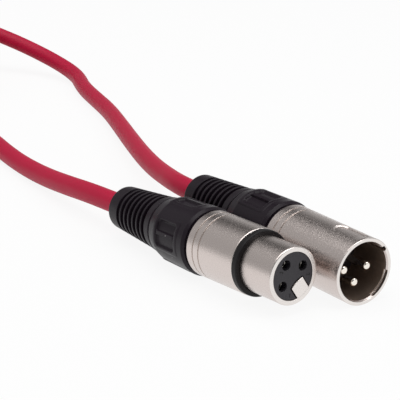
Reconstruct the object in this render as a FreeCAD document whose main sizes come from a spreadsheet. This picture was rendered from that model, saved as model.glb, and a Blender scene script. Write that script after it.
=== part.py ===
import FreeCAD, Part
import math
import os
import re

import Sketcher
from FreeCAD import Placement, Rotation, Vector

# A microphone cable: a female and a male three-pin connector lying side by side on a table, with three
# metres of cable between them, most of it in a tied coil. Millimetres and degrees. The connectors point
# along +X, +Z is up, and the origin is on the table below the middle of the two connectors.
#
# Each connector is modelled in a frame of its own: X is the depth behind its front face, Z points at its
# key. A boot's pieces are modelled in a frame whose X is the distance behind the boot's own front end.

SIZES = {
    # How far a cutter reaches beyond what it cuts.
    "overrun": 1.0,
    # How the two connectors lie: the middle of each front face, and its turn, tilt and roll.
    "female_x": 36.2,
    "female_y": -10.3,
    "female_z": 10.95,
    "female_turn": 180.0,
    "female_tilt": 1.5,
    "female_roll": 147.0,
    "male_x": 41.76,
    "male_y": 9.33,
    "male_z": 9.39,
    "male_turn": 178.25,
    "male_tilt": -1.04,
    "male_roll": 3.0,
    # Shells: outside, and the two fine grooves and the neck at the rear, which both shells share.
    "shell_front_radius": 9.35,
    "shell_rear_radius": 9.45,
    "shell_edge": 0.3,
    "female_rear": 34.1,
    "male_rear": 31.6,
    "groove_far": 5.3,
    "groove_near": 2.7,
    "groove_half": 0.25,
    "groove_floor": 9.05,
    "neck_radius": 8.6,
    "neck_length": 0.5,
    # Female shell: the nose that enters a male shell, the body behind it, and their bores.
    "nose_radius": 7.9,
    "nose_bore": 6.55,
    "nose_edge": 0.35,
    "body_front": 14.3,
    "body_bore": 8.0,
    "bore_step": 15.8,
    "key_half": 2.2,
    "key_high": 7.2,
    "key_rear": 2.6,
    "key_arch": 6.75,
    "arch_height": 8.95,
    "ring_front": 12.4,
    "ring_radius": 9.2,
    "ring_edge": 0.8,
    # Openings in the female shell for the latch's hook and button, and the ribs that carry its hinge.
    "hook_window_front": 5.6,
    "hook_window_rear": 9.6,
    "hook_window_half": 1.9,
    "button_window_front": 15.1,
    "button_window_rear": 22.3,
    "button_window_half": 3.2,
    "rib_front": 24.5,
    "rib_rear": 28.5,
    "rib_inner": 2.4,
    "rib_outer": 3.4,
    "rib_low": 4.2,
    "rib_high": 8.2,
    # Latch: a lever on a cross pin, with an arm and hook in front and a button on top.
    "hinge_depth": 26.5,
    "hinge_height": 5.8,
    "hinge_pin_radius": 1.0,
    "hinge_pin_half": 3.3,
    "hinge_rib_bore": 1.02,
    "hinge_lever_bore": 1.05,
    "hinge_bore_half": 4.7,
    "lever_front": 15.5,
    "lever_rear": 28.0,
    "lever_half": 2.2,
    "lever_low": 4.6,
    "lever_high": 6.9,
    "arm_front": 5.8,
    "arm_half": 1.6,
    "arm_low": 4.9,
    "arm_high": 6.15,
    "hook_front": 6.2,
    "hook_rear": 9.2,
    "hook_half": 1.5,
    "hook_high": 8.5,
    "button_front": 15.8,
    "button_rear": 22.0,
    "button_half": 2.9,
    "button_low": 8.2,
    "button_high": 10.4,
    "button_edge": 0.5,
    "slot_front": 22.6,
    "slot_half": 1.2,
    "spring_radius": 1.35,
    "spring_wire": 0.25,
    "spring_half": 0.78,
    "spring_leg": 3.0,
    "spring_quarters": 10.0,
    # Female insulator and its three socket contacts.
    "contact_circle": 4.0,
    "socket_plate_front": 0.15,
    "socket_plate_radius": 6.5,
    "socket_flange_front": 16.2,
    "socket_flange_radius": 7.8,
    "socket_plate_rear": 22.0,
    "notch_half": 2.5,
    "notch_arch": 7.1,
    "socket_mouth": 1.38,
    "socket_mouth_rear": 2.35,
    "socket_hole": 1.8,
    "socket_front": 2.4,
    "socket_radius": 1.75,
    "socket_bore": 1.225,
    "socket_bore_rear": 14.0,
    "socket_rear": 17.0,
    "socket_cup_rear": 23.5,
    # Male shell, insulator and pins.
    "male_bore": 8.05,
    "male_mouth": 8.4,
    "male_mouth_depth": 0.5,
    "relief_front": 3.1,
    "relief_radius": 8.25,
    "cutter_inside": 7.0,
    "lock_rear": 7.0,
    "lock_radius": 8.65,
    "lock_angle": 28.0,
    "keyway_half": 0.7,
    "keyway_radius": 8.9,
    "keyway_depth": 9.0,
    "keyway_turn": 48.5,
    "step_depth": 1.1,
    "step_radius": 8.45,
    "step_angle": 56.0,
    "step_turn": 124.0,
    "panel_front": 0.2,
    "panel_ramp": 2.9,
    "panel_rear": 11.7,
    "panel_radius": 9.05,
    "panel_angle": 29.0,
    "panel_turn": -2.0,
    "pin_plate_front": 13.5,
    "pin_plate_rear": 18.0,
    "pin_plate_radius": 8.2,
    "pin_hole": 1.42,
    "pin_root": 1.4,
    "pin_radius": 1.2,
    "pin_tip": 3.2,
    "pin_seat": 1.6,
    "pin_seat_rear": 19.0,
    "pin_cup_rear": 23.0,
    "cup_radius": 1.4,
    "cup_bore": 0.95,
    "cup_depth": 3.0,
    # Boot body: a threaded front inside the shell, a stepped lip, a cone and four grip pads.
    "boot_inset": 4.9,
    "female_thread_radius": 7.7,
    "male_thread_radius": 7.95,
    "boot_bore": 7.15,
    "boot_shoulder": 5.4,
    "boot_shoulder_radius": 8.7,
    "boot_bevel": 6.1,
    "boot_bevel_radius": 9.3,
    "boot_lip": 7.0,
    "boot_lip_radius": 9.9,
    "boot_crest": 20.8,
    "boot_crest_radius": 9.42,
    "boot_rear": 24.5,
    "boot_rear_radius": 8.5,
    "boot_bore_taper": 12.5,
    "boot_seat": 20.9,
    "boot_throat": 5.4,
    "boot_seat_radius": 6.35,
    "pad_count": 4.0,
    "pad_front": 9.5,
    "pad_front_radius": 9.9,
    "pad_crest": 20.6,
    "pad_crest_radius": 9.64,
    "pad_rear": 21.8,
    "pad_rear_radius": 9.38,
    "pad_root": 8.0,
    "pad_angle": 60.0,
    "grip_front": 11.0,
    "grip_rear": 19.6,
    "grip_front_radius": 9.0,
    "grip_rear_radius": 8.92,
    "grip_angle": 46.0,
    "grip_rib_front_radius": 9.7,
    "grip_rib_rear_radius": 9.52,
    "grip_rib_angle": 8.0,
    "female_pad_turn": -47.0,
    "male_pad_turn": -17.0,
    # Boot gland: a ribbed sleeve that grips the jacket and bends with it.
    "gland_front": 21.0,
    "gland_spigot_radius": 6.3,
    "gland_bore": 3.3,
    "gland_collar": 25.0,
    "gland_collar_radius": 8.45,
    "gland_flare": 27.8,
    "gland_flare_radius": 8.03,
    "gland_rear": 48.9,
    "gland_rear_radius": 6.5,
    "gland_edge": 1.2,
    "slit_count": 7.0,
    "slit_first": 28.6,
    "slit_half": 0.75,
    "slit_floor": 6.0,
    "slit_span": 14.4,
    # Chuck: the collet that clamps the jacket inside the boot.
    "chuck_front": 0.3,
    "chuck_radius": 7.0,
    "chuck_taper": 12.0,
    "chuck_rear": 17.8,
    "chuck_rear_radius": 5.8,
    "chuck_bore": 3.4,
    "chuck_slot_front": 6.0,
    "chuck_slot_half": 0.4,
    # Cable: its round jacket, its three cores and where the jacket is cut back in each connector.
    "cable_radius": 3.25,
    "core_radius": 0.7,
    "core_circle": 1.5,
    "core_end_gap": 6.0,
    "core_first_run": 1.3,
    "core_last_run": 1.0,
    "core_into_cup": 0.3,
    # Coil: loops drawn in a spiral in and out again in four layers, held by a strap.
    "coil_x": -262.8,
    "coil_y": 2.3,
    "coil_z": 4.31,
    "coil_radius": 46.0,
    "coil_pitch": 7.4,
    "coil_layers": 4.0,
    "coil_loops": 11.0,
    "coil_start": -45.0,
    "coil_end": 143.0,
    "tie_angle": 200.0,
    "tie_width": 12.0,
    "tie_thickness": 0.8,
    "tie_side_gap": 1.2,
    "tie_gap": 0.23,
}

# Where the cable lies between the connectors and the coil, chosen by hand: middles of the jacket.
FEMALE_RUN = [
    (-77.4, -9.0, 6.5),
    (-95.4, -6.7, 4.4),
    (-114.4, -4.4, 3.4),
    (-133.4, -1.3, 3.3),
    (-151.4, 2.7, 3.3),
    (-169.4, 3.6, 3.3),
    (-187.1, 0.5, 3.4),
    (-203.5, -6.8, 3.8),
]
MALE_RUN = [
    (-48.4, 13.2, 10.5),
    (-59.7, 17.2, 9.2),
    (-72.5, 21.7, 8.0),
    (-89.1, 28.2, 7.0),
    (-110.8, 37.8, 5.8),
    (-135.9, 49.2, 4.6),
    (-159.8, 59.5, 3.8),
    (-180.1, 66.4, 3.35),
    (-201.2, 73.2, 3.3),
    (-221.0, 82.4, 3.8),
    (-241.5, 81.8, 7.5),
    (-260.0, 72.0, 14.5),
    (-275.1, 57.5, 21.5),
]
FEMALE_FIRST_RUN = 16.9
FEMALE_LAST_RUN = 11.6
MALE_FIRST_RUN = 7.3
MALE_LAST_RUN = 12.0

NUDGE = 0.01
TINY = 1e-9
MATCH = 1e-4
ARC_SHARE = 0.45
BIARCS_PER_LAYER = 12
GAP_STEP = 2.0

doc = FreeCAD.newDocument("MicrophoneCable")
sheet = doc.addObject("Spreadsheet::Sheet", "Sizes")
for row, (name, number) in enumerate(SIZES.items(), start=1):
    sheet.set("A%d" % row, name)
    sheet.set("B%d" % row, str(number))
    sheet.setAlias("B%d" % row, name)
doc.recompute()


def size(name):
    """The number in the sheet's cell of this name."""
    return float(sheet.get(name))


def bound(text):
    """The text of a sum of sizes with each name made a reference to the sheet."""
    return re.sub(r"[a-z_]{3,}", lambda word: "Sizes." + word.group(0), text)


def amount(text):
    """What a plain sum of sizes and numbers comes to, such as 'female_rear - groove_far'."""
    total = 0.0
    sign = 1.0
    for word in text.split():
        if word in ("+", "-"):
            sign = 1.0 if word == "+" else -1.0
        elif word in SIZES:
            total += sign * size(word)
        else:
            total += sign * float(word)
    return total


def origin_feature(body, role):
    """The plane or axis of a body's own origin that has this role."""
    return [item for item in body.Origin.OriginFeatures if item.Role == role][0]


def add_side(sketch, start, end, bend):
    """One side of an outline, straight or swelling as an arc; its number and its first and last ends."""
    if not bend:
        return sketch.addGeometry(Part.LineSegment(start, end), False), 1, 2
    radius = amount(bend[0])
    chord = end - start
    rise = radius - math.sqrt(radius ** 2 - (chord.Length / 2) ** 2)
    outward = Vector(-chord.y, chord.x, 0).normalize()
    middle = (start + end) / 2 + outward * rise
    side = sketch.addGeometry(Part.Arc(start, middle, end), False)
    number = sketch.addConstraint(Sketcher.Constraint("Radius", side, radius))
    sketch.setExpression("Constraints[%d]" % number, bound(bend[0]))
    return side, 2, 1


def hold_corner(sketch, vertex, depth, radius):
    """Fix one corner of an outline by two dimensions from the origin, or on an axis where one is 0."""
    for kind, axis, text in (("DistanceX", -2, depth), ("DistanceY", -1, radius)):
        if text == "0":
            sketch.addConstraint(Sketcher.Constraint("PointOnObject", vertex[0], vertex[1], axis))
        else:
            rule = Sketcher.Constraint(kind, -1, 1, vertex[0], vertex[1], amount(text))
            number = sketch.addConstraint(rule)
            sketch.setExpression("Constraints[%d]" % number, bound(text))


def outline(body, name, corners):
    """A closed sketch of depths and radii in a body, and of the arc's radius where a side swells."""
    sketch = body.newObject("Sketcher::SketchObject", name)
    sketch.AttachmentSupport = [(origin_feature(body, "XZ_Plane"), "")]
    sketch.MapMode = "FlatFace"
    points = [Vector(amount(corner[0]), amount(corner[1]), 0) for corner in corners]
    following = points[1:] + points[:1]
    sides = [add_side(sketch, *ends, corner[2:]) for *ends, corner in zip(points, following, corners)]
    for before, after in zip(sides, sides[1:] + sides[:1]):
        sketch.addConstraint(Sketcher.Constraint("Coincident", before[0], before[2], after[0], after[1]))
    for side, corner in zip(sides, corners):
        hold_corner(sketch, side[:2], corner[0], corner[1])
    return sketch


def sweep_round(body, name, kind, corners, angle="360"):
    """A solid or a cut made by turning an outline about X, all round or as far each side of Z."""
    sketch = outline(body, name + "_outline", corners)
    feature = body.newObject(kind, name)
    feature.Profile = sketch
    feature.ReferenceAxis = (sketch, ["H_Axis"])
    feature.setExpression("Angle", bound(angle))
    feature.Midplane = angle != "360"
    doc.recompute()
    return feature


def turned(name, corners, angle="360"):
    """A body turned about X from one outline, all round or as far each side of Z."""
    body = doc.addObject("PartDesign::Body", name)
    sweep_round(body, name + "_turn", "PartDesign::Revolution", corners, angle)
    return body


def circle_names(shape, places):
    """The names of a shape's round edges at these depths and radii."""
    names = []
    for number, edge in enumerate(shape.Edges, start=1):
        if not isinstance(edge.Curve, Part.Circle):
            continue
        for depth, radius in places:
            apart = max(abs(edge.Curve.Radius - amount(radius)), abs(edge.Curve.Center.x - amount(depth)))
            if apart < MATCH:
                names.append("Edge%d" % number)
    return names


def round_edges(body, name, places, radius):
    """Round the edges of a turned body at these depths and radii."""
    base = body.Tip
    fillet = body.newObject("PartDesign::Fillet", name)
    fillet.Base = (base, circle_names(base.Shape, places))
    fillet.setExpression("Radius", bound(radius))
    body.Tip = fillet
    doc.recompute()


def repeat_round(body, name, feature, count):
    """Repeat one feature of a body evenly about X."""
    pattern = body.newObject("PartDesign::PolarPattern", name)
    pattern.Originals = [feature]
    pattern.Axis = (origin_feature(body, "X_Axis"), [""])
    pattern.Angle = 360
    pattern.setExpression("Occurrences", bound(count))
    body.Tip = pattern
    doc.recompute()


def box(name, depths, sides, heights):
    """A box between two depths, two places across and two heights, each given as a sum of sizes."""
    item = doc.addObject("Part::Box", name)
    for axis, side, (low, high) in zip("xyz", ("Length", "Width", "Height"), (depths, sides, heights)):
        item.setExpression(side, bound("(%s) - (%s)" % (high, low)))
        item.setExpression("Placement.Base." + axis, bound(low))
    return item


def middle_box(name, depths, half, heights):
    """A box that is as wide on each side of the middle plane."""
    return box(name, depths, ("-" + half, half), heights)


def rod(name, radius, depths, across="0", height="0"):
    """A cylinder along X between two depths."""
    item = doc.addObject("Part::Cylinder", name)
    item.Placement = Placement(Vector(), Rotation(Vector(0, 1, 0), 90))
    item.setExpression("Radius", bound(radius))
    item.setExpression("Height", bound("(%s) - (%s)" % (depths[1], depths[0])))
    for axis, text in zip("xyz", (depths[0], across, height)):
        item.setExpression("Placement.Base." + axis, bound(text))
    return item


def hinge_rod(name, radius, half):
    """A cylinder along the latch's hinge line."""
    item = doc.addObject("Part::Cylinder", name)
    item.Placement = Placement(Vector(), Rotation(Vector(1, 0, 0), -90))
    item.setExpression("Radius", bound(radius))
    item.setExpression("Height", bound("2 * " + half))
    for axis, text in zip("xyz", ("hinge_depth", "-" + half, "hinge_height")):
        item.setExpression("Placement.Base." + axis, bound(text))
    return item


def fused(name, items):
    """Several solids made one."""
    joined = doc.addObject("Part::MultiFuse", name)
    joined.Shapes = items
    return joined


def cut(name, base, tools):
    """A solid with other solids taken away."""
    result = doc.addObject("Part::Cut", name)
    result.Base = base
    result.Tool = tools[0] if len(tools) == 1 else fused(name + "_tools", tools)
    return result


def arched(name, depths, half, high, radius):
    """A bar along the middle plane whose inner side bulges as part of a cylinder along X."""
    bar = middle_box(name + "_bar", depths, half, ("0", high))
    common = doc.addObject("Part::MultiCommon", name)
    common.Shapes = [bar, rod(name + "_arch", radius, depths, "0", "arch_height")]
    return common


def lying(prefix):
    """Where a connector lies, from its face's place and its turn, tilt and roll."""
    place = Vector(size(prefix + "_x"), size(prefix + "_y"), size(prefix + "_z"))
    turn = Rotation(size(prefix + "_turn"), size(prefix + "_tilt"), size(prefix + "_roll"))
    return Placement(place, turn)


def along(depth, roll=0.0):
    """A step along a connector's own axis, with a roll about it."""
    return Placement(Vector(depth, 0, 0), Rotation(Vector(1, 0, 0), roll))


def rolled(item, turn):
    """A cutter rolled about a connector's axis."""
    holder = doc.addObject("Part::Compound", item.Name + "_rolled")
    holder.Links = [item]
    holder.Placement = along(0, size(turn))
    return holder


def boot_depth(prefix):
    """The depth of a boot's front end behind its connector's face."""
    return size(prefix + "_rear") - size("boot_inset")


def contact_places(prefix):
    """The three contacts of a connector, as (number, place across, height); the key is at the top."""
    side = 1.0 if prefix == "male" else -1.0
    circle = size("contact_circle")
    return [(1, side * circle, 0.0), (2, -side * circle, 0.0), (3, 0.0, -circle)]


def groove_corners(centre):
    """The four corners of one of a shell's fine grooves."""
    front = centre + " - groove_half"
    rear = centre + " + groove_half"
    return [(front, "shell_rear_radius"), (front, "groove_floor"),
            (rear, "groove_floor"), (rear, "shell_rear_radius")]


def shell_rear_corners(rear, bore):
    """A shell's rear: two grooves, the end of the body and the neck, as far as the bore."""
    neck = rear + " + neck_length"
    return (groove_corners(rear + " - groove_far") + groove_corners(rear + " - groove_near")
            + [(rear, "shell_rear_radius"), (rear, "neck_radius"), (neck, "neck_radius"), (neck, bore)])


def female_shell():
    """A stepped tube with an inner key at its mouth, two openings for the latch and two hinge ribs."""
    body = turned("female_shell_tube", [
        ("0", "nose_bore"), ("0", "nose_radius"),
        ("body_front", "nose_radius"), ("body_front", "shell_front_radius"),
        *shell_rear_corners("female_rear", "body_bore"),
        ("bore_step", "body_bore"), ("bore_step", "nose_bore")])
    round_edges(body, "female_nose_edge", [("0", "nose_radius")], "nose_edge")
    round_edges(body, "female_body_edges", [("body_front", "shell_front_radius")], "shell_edge")
    windows = [
        middle_box("hook_window", ("hook_window_front", "hook_window_rear"), "hook_window_half",
                   ("arm_low", "shell_front_radius")),
        middle_box("button_window", ("button_window_front", "button_window_rear"), "button_window_half",
                   ("arm_low", "button_high"))]
    tube = cut("female_shell_windowed", body, windows)
    key = arched("female_key", ("0", "key_rear"), "key_half", "key_high", "key_arch")
    places = {"left": ("rib_inner", "rib_outer"), "right": ("-rib_outer", "-rib_inner")}
    ribs = [box("hinge_rib_" + name, ("rib_front", "rib_rear"), sides, ("rib_low", "rib_high"))
            for name, sides in places.items()]
    solid = fused("female_shell_solid", [tube, key, *ribs])
    return cut("female_shell", solid, [hinge_rod("hinge_rib_holes", "hinge_rib_bore", "hinge_bore_half")])


def female_ring():
    """A rubber ring on the root of the nose, rounded towards the front."""
    ring = turned("female_ring", [
        ("ring_front", "nose_radius"), ("ring_front", "ring_radius"),
        ("body_front", "ring_radius"), ("body_front", "nose_radius")])
    round_edges(ring, "female_ring_edge", [("ring_front", "ring_radius")], "ring_edge")
    return ring


def female_insert():
    """The insulator: a disc in the nose with a flange behind it, a notch for the key and three holes."""
    plug = turned("female_insert_plug", [
        ("socket_plate_front", "0"), ("socket_plate_front", "socket_plate_radius"),
        ("socket_flange_front", "socket_plate_radius"), ("socket_flange_front", "socket_flange_radius"),
        ("socket_plate_rear", "socket_flange_radius"), ("socket_plate_rear", "0")])
    depths = ("0", "socket_plate_rear + overrun")
    tools = [arched("insert_notch", depths, "notch_half", "body_bore", "notch_arch")]
    for number, across, height in contact_places("female"):
        place = (str(across), str(height))
        tools.append(rod("socket_mouth_%d" % number, "socket_mouth", ("0", "socket_mouth_rear"), *place))
        tools.append(rod("socket_hole_%d" % number, "socket_hole",
                         ("socket_mouth_rear", "socket_plate_rear + overrun"), *place))
    return cut("female_insert", plug, tools)


def female_contact(number):
    """A socket: a tube for a pin in front and a solder cup behind."""
    return turned("female_contact_%d" % number, [
        ("socket_front", "socket_bore"), ("socket_front", "socket_radius"),
        ("socket_rear", "socket_radius"), ("socket_rear", "cup_radius"),
        ("socket_cup_rear", "cup_radius"), ("socket_cup_rear", "cup_bore"),
        ("socket_cup_rear - cup_depth", "cup_bore"), ("socket_cup_rear - cup_depth", "0"),
        ("socket_bore_rear", "0"), ("socket_bore_rear", "socket_bore")])


def female_latch():
    """The lever that is pressed to part the connectors: hook, arm, lever and button in one piece."""
    lever = middle_box("latch_lever", ("lever_front", "lever_rear"), "lever_half",
                       ("lever_low", "lever_high"))
    arm = middle_box("latch_arm", ("arm_front", "lever_front"), "arm_half", ("arm_low", "arm_high"))
    hook = middle_box("latch_hook", ("hook_front", "hook_rear"), "hook_half", ("arm_low", "hook_high"))
    stem = middle_box("latch_stem", ("button_front", "button_rear"), "lever_half",
                      ("lever_high", "button_low"))
    button = middle_box("latch_button", ("button_front", "button_rear"), "button_half",
                        ("button_low", "button_high"))
    rounded = doc.addObject("Part::Fillet", "latch_button_rounded")
    rounded.Base = button
    doc.recompute()
    top = [number for number, edge in enumerate(button.Shape.Edges, start=1)
           if edge.BoundBox.ZMin > size("button_high") - MATCH]
    rounded.Edges = [(number, size("button_edge"), size("button_edge")) for number in top]
    solid = fused("latch_solid", [lever, arm, hook, stem, rounded])
    bore = hinge_rod("latch_bore", "hinge_lever_bore", "hinge_bore_half")
    slot = middle_box("latch_spring_slot", ("slot_front", "lever_rear + overrun"), "slot_half",
                      ("0", "button_low"))
    return cut("female_latch", solid, [bore, slot])


def female_latch_pin():
    """The cross pin that the latch turns on."""
    return hinge_rod("female_latch_pin", "hinge_pin_radius", "hinge_pin_half")


def male_shell():
    """A tube with a bevelled mouth. Inside are a keyway, a step at the mouth, a pocket for the hook, a
    relief that narrows again to the rear, and a shoulder that seats the insulator; outside is a blank
    panel."""
    body = turned("male_shell_tube", [
        ("0", "male_mouth"), ("0", "shell_front_radius"),
        *shell_rear_corners("male_rear", "relief_radius"),
        ("pin_plate_front", "relief_radius"), ("pin_plate_front", "male_bore"),
        ("relief_front", "relief_radius"), ("relief_front", "male_bore"),
        ("male_mouth_depth", "male_bore")])
    round_edges(body, "male_mouth_edge", [("0", "shell_front_radius")], "shell_edge")
    sweep_round(body, "lock_pocket", "PartDesign::Groove", [
        ("relief_front", "cutter_inside"), ("relief_front", "lock_radius"),
        ("lock_rear", "lock_radius"), ("lock_rear", "cutter_inside")], "lock_angle")
    panel = turned("blank_panel", [
        ("panel_front", "shell_rear_radius"), ("panel_front", "shell_rear_radius + overrun"),
        ("panel_rear", "shell_rear_radius + overrun"), ("panel_rear", "panel_radius"),
        ("panel_ramp", "panel_radius")], "panel_angle")
    step = turned("mouth_step", [
        ("0", "cutter_inside"), ("0", "step_radius"),
        ("step_depth", "step_radius"), ("step_depth", "cutter_inside")], "step_angle")
    keyway = middle_box("keyway", ("-overrun", "keyway_depth"), "keyway_half",
                        ("cutter_inside", "keyway_radius"))
    return cut("male_shell", body, [
        rolled(panel, "panel_turn"), rolled(step, "step_turn"), rolled(keyway, "keyway_turn")])


def male_insert():
    """The insulating disc that holds the pins."""
    disc = turned("male_insert_disc", [
        ("pin_plate_front", "0"), ("pin_plate_front", "pin_plate_radius"),
        ("pin_plate_rear", "pin_plate_radius"), ("pin_plate_rear", "0")])
    depths = ("pin_plate_front - overrun", "pin_plate_rear + overrun")
    holes = [rod("pin_hole_%d" % number, "pin_hole", depths, str(across), str(height))
             for number, across, height in contact_places("male")]
    return cut("male_insert", disc, holes)


def male_pin(number):
    """A pin with a round tip in front, a thicker root in the insulator and a solder cup behind."""
    return turned("male_pin_%d" % number, [
        ("pin_tip", "0", "pin_radius"), ("pin_tip + pin_radius", "pin_radius"),
        ("pin_plate_front", "pin_radius"), ("pin_plate_front", "pin_root"),
        ("pin_plate_rear", "pin_root"), ("pin_plate_rear", "pin_seat"),
        ("pin_seat_rear", "pin_seat"), ("pin_seat_rear", "cup_radius"),
        ("pin_cup_rear", "cup_radius"), ("pin_cup_rear", "cup_bore"),
        ("pin_cup_rear - cup_depth", "cup_bore"), ("pin_cup_rear - cup_depth", "0")])


def chuck(prefix):
    """The collet round the jacket, slotted crosswise at its narrow end."""
    sleeve = turned(prefix + "_chuck_sleeve", [
        ("chuck_front", "chuck_bore"), ("chuck_front", "chuck_radius"),
        ("chuck_taper", "chuck_radius"), ("chuck_rear", "chuck_rear_radius"), ("chuck_rear", "chuck_bore")])
    depths = ("chuck_slot_front", "chuck_rear + overrun")
    wide = ("-chuck_radius", "chuck_radius")
    narrow = ("-chuck_slot_half", "chuck_slot_half")
    slots = [box(prefix + "_chuck_slot_flat", depths, wide, narrow),
             box(prefix + "_chuck_slot_upright", depths, narrow, wide)]
    return cut(prefix + "_chuck", sleeve, slots)


def boot_body(prefix):
    """The hard cone that screws into the shell, with four raised pads that each have a hollow grip."""
    thread = prefix + "_thread_radius"
    body = turned(prefix + "_boot_body", [
        ("0", "boot_bore"), ("0", thread),
        ("boot_shoulder", thread), ("boot_shoulder", "boot_shoulder_radius"),
        ("boot_bevel", "boot_shoulder_radius"), ("boot_bevel", "boot_bevel_radius"),
        ("boot_lip", "boot_lip_radius"), ("boot_crest", "boot_crest_radius"),
        ("boot_rear", "boot_rear_radius"),
        ("boot_rear", "boot_seat_radius"), ("boot_seat", "boot_seat_radius"),
        ("boot_seat", "boot_throat"), ("boot_bore_taper", "boot_bore")])
    pad = sweep_round(body, prefix + "_pad", "PartDesign::Revolution", [
        ("pad_front", "pad_root"), ("pad_front", "pad_front_radius"), ("pad_crest", "pad_crest_radius"),
        ("pad_rear", "pad_rear_radius"), ("pad_rear", "pad_root")], "pad_angle")
    repeat_round(body, prefix + "_pads", pad, "pad_count")
    grip = sweep_round(body, prefix + "_grip", "PartDesign::Groove", [
        ("grip_front", "grip_front_radius"), ("grip_front", "boot_lip_radius + overrun"),
        ("grip_rear", "boot_lip_radius + overrun"), ("grip_rear", "grip_rear_radius")], "grip_angle")
    repeat_round(body, prefix + "_grips", grip, "pad_count")
    rib = sweep_round(body, prefix + "_grip_rib", "PartDesign::Revolution", [
        ("grip_front", "pad_root"), ("grip_front", "grip_rib_front_radius"),
        ("grip_rear", "grip_rib_rear_radius"), ("grip_rear", "pad_root")], "grip_rib_angle")
    repeat_round(body, prefix + "_grip_ribs", rib, "pad_count")
    return body


def boot_gland(prefix):
    """The soft sleeve behind the cone: a spigot, a collar and seven slits that let it bend."""
    body = turned(prefix + "_boot_gland", [
        ("gland_front", "gland_bore"), ("gland_front", "gland_spigot_radius"),
        ("gland_collar", "gland_spigot_radius"), ("gland_collar", "gland_collar_radius"),
        ("gland_flare", "gland_flare_radius"), ("gland_rear", "gland_rear_radius"),
        ("gland_rear", "gland_bore")])
    round_edges(body, prefix + "_gland_edge", [("gland_rear", "gland_rear_radius")], "gland_edge")
    near = "slit_first - slit_half"
    far = "slit_first + slit_half"
    outside = "gland_collar_radius + overrun"
    slit = sweep_round(body, prefix + "_slit", "PartDesign::Groove", [
        (near, "slit_floor"), (near, outside), (far, outside), (far, "slit_floor")])
    pattern = body.newObject("PartDesign::LinearPattern", prefix + "_slits")
    pattern.Originals = [slit]
    pattern.Direction = (origin_feature(body, "X_Axis"), [""])
    pattern.setExpression("Length", bound("slit_span"))
    pattern.setExpression("Occurrences", bound("slit_count"))
    body.Tip = pattern
    doc.recompute()
    return body


def cable_end(prefix, cup_rear):
    """The jacket inside a connector, from where it is cut back to the gland's rear face."""
    front = cup_rear + " + core_end_gap"
    rear = prefix + "_rear - boot_inset + gland_rear"
    return rod(prefix + "_cable_end", "cable_radius", (front, rear))


def straight(start, end):
    """A straight edge."""
    return Part.LineSegment(start, end).toShape()


def rounded_path(points):
    """Straight runs joined by arcs that are each as large as the two runs allow; edges and radii."""
    edges = []
    radii = []
    last = points[0]
    for before, corner, after in zip(points, points[1:], points[2:]):
        back = before - corner
        ahead = after - corner
        reach = ARC_SHARE * min(back.Length, ahead.Length)
        turn = math.pi - back.getAngle(ahead)
        radius = reach / math.tan(turn / 2)
        entry = corner + back.normalize() * reach
        leave = corner + ahead.normalize() * reach
        inward = (back + ahead).normalize()
        middle = corner + inward * (radius / math.cos(turn / 2) - radius)
        edges.append(straight(last, entry))
        edges.append(Part.Arc(entry, middle, leave).toShape())
        radii.append(radius)
        last = leave
    edges.append(straight(last, points[-1]))
    return edges, radii


def biarc(start, start_way, end, end_way):
    """Two arcs that leave one point and reach another in the given directions."""
    chord = end - start
    ways = start_way + end_way
    dot = chord.dot(ways)
    spread = 2 * (1 - start_way.dot(end_way))
    reach = (-dot + math.sqrt(dot ** 2 + spread * chord.dot(chord))) / spread
    joint = (start + end + (start_way - end_way) * reach) / 2
    edges = []
    halves = ((start, joint, start + start_way * reach), (joint, end, end - end_way * reach))
    for first, last, corner in halves:
        half = (last - first) / 2
        angle = (corner - first).getAngle(half)
        centre = (first + last) / 2
        rise = (corner - centre).normalize() * (half.Length * math.tan(angle / 2))
        edges.append(Part.Arc(first, centre + rise, last).toShape())
    return edges


def wound_path(points, ways, first_leg, last_leg):
    """A straight leg, biarcs through the points along their directions, and a straight leg."""
    edges = [straight(points[0] - ways[0] * first_leg, points[0])]
    for start, start_way, end, end_way in zip(points, ways, points[1:], ways[1:]):
        edges += biarc(start, start_way, end, end_way)
    edges.append(straight(points[-1], points[-1] + ways[-1] * last_leg))
    return edges


def tube(name, edges, radius):
    """A round tube along joined edges, with its volume compared with section times length."""
    path = Part.Wire(edges)
    first = edges[0]
    start = first.valueAt(first.FirstParameter)
    way = first.tangentAt(first.FirstParameter)
    section = Part.Wire([Part.Circle(start, way, radius).toShape()])
    item = doc.addObject("Part::Feature", name)
    item.Shape = path.makePipeShell([section], True, False)
    expected = math.pi * radius ** 2 * path.Length
    print("%s: length %.1f, volume share %.4f" % (name, path.Length, item.Shape.Volume / expected))
    return item


def core(prefix, number, across, height, cup_rear):
    """One insulated core, from the cut jacket out to its solder cup."""
    jacket = cup_rear + size("core_end_gap")
    share = size("core_circle") / size("contact_circle")
    near = (across * share, height * share)
    points = [Vector(jacket, *near), Vector(jacket - size("core_first_run"), *near),
              Vector(cup_rear + size("core_last_run"), across, height),
              Vector(cup_rear - size("core_into_cup"), across, height)]
    edges, radii = rounded_path(points)
    print("%s core %d: least radius %.2f" % (prefix, number, min(radii)))
    return tube("%s_wire_%d" % (prefix, number), edges, size("core_radius"))


def latch_spring():
    """A torsion spring of two and a half turns round the hinge pin, with two legs forward."""
    quarters = int(size("spring_quarters"))
    middle = Vector(size("hinge_depth"), 0, size("hinge_height"))
    radius = size("spring_radius")
    half = size("spring_half")

    def place(quarter):
        angle = math.radians(90 * quarter)
        outward = Vector(math.sin(angle), 0, -math.cos(angle)) * radius
        return middle + outward + Vector(0, half * (2 * quarter / quarters - 1), 0)

    points = [place(quarter) for quarter in range(quarters + 1)]
    ways = [(place(quarter + NUDGE) - place(quarter - NUDGE)).normalize() for quarter in range(quarters + 1)]
    ways[0] = Vector(1, 0, 0)
    ways[-1] = Vector(-1, 0, 0)
    leg = size("spring_leg")
    return tube("female_latch_spring", wound_path(points, ways, leg, leg), size("spring_wire"))


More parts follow.
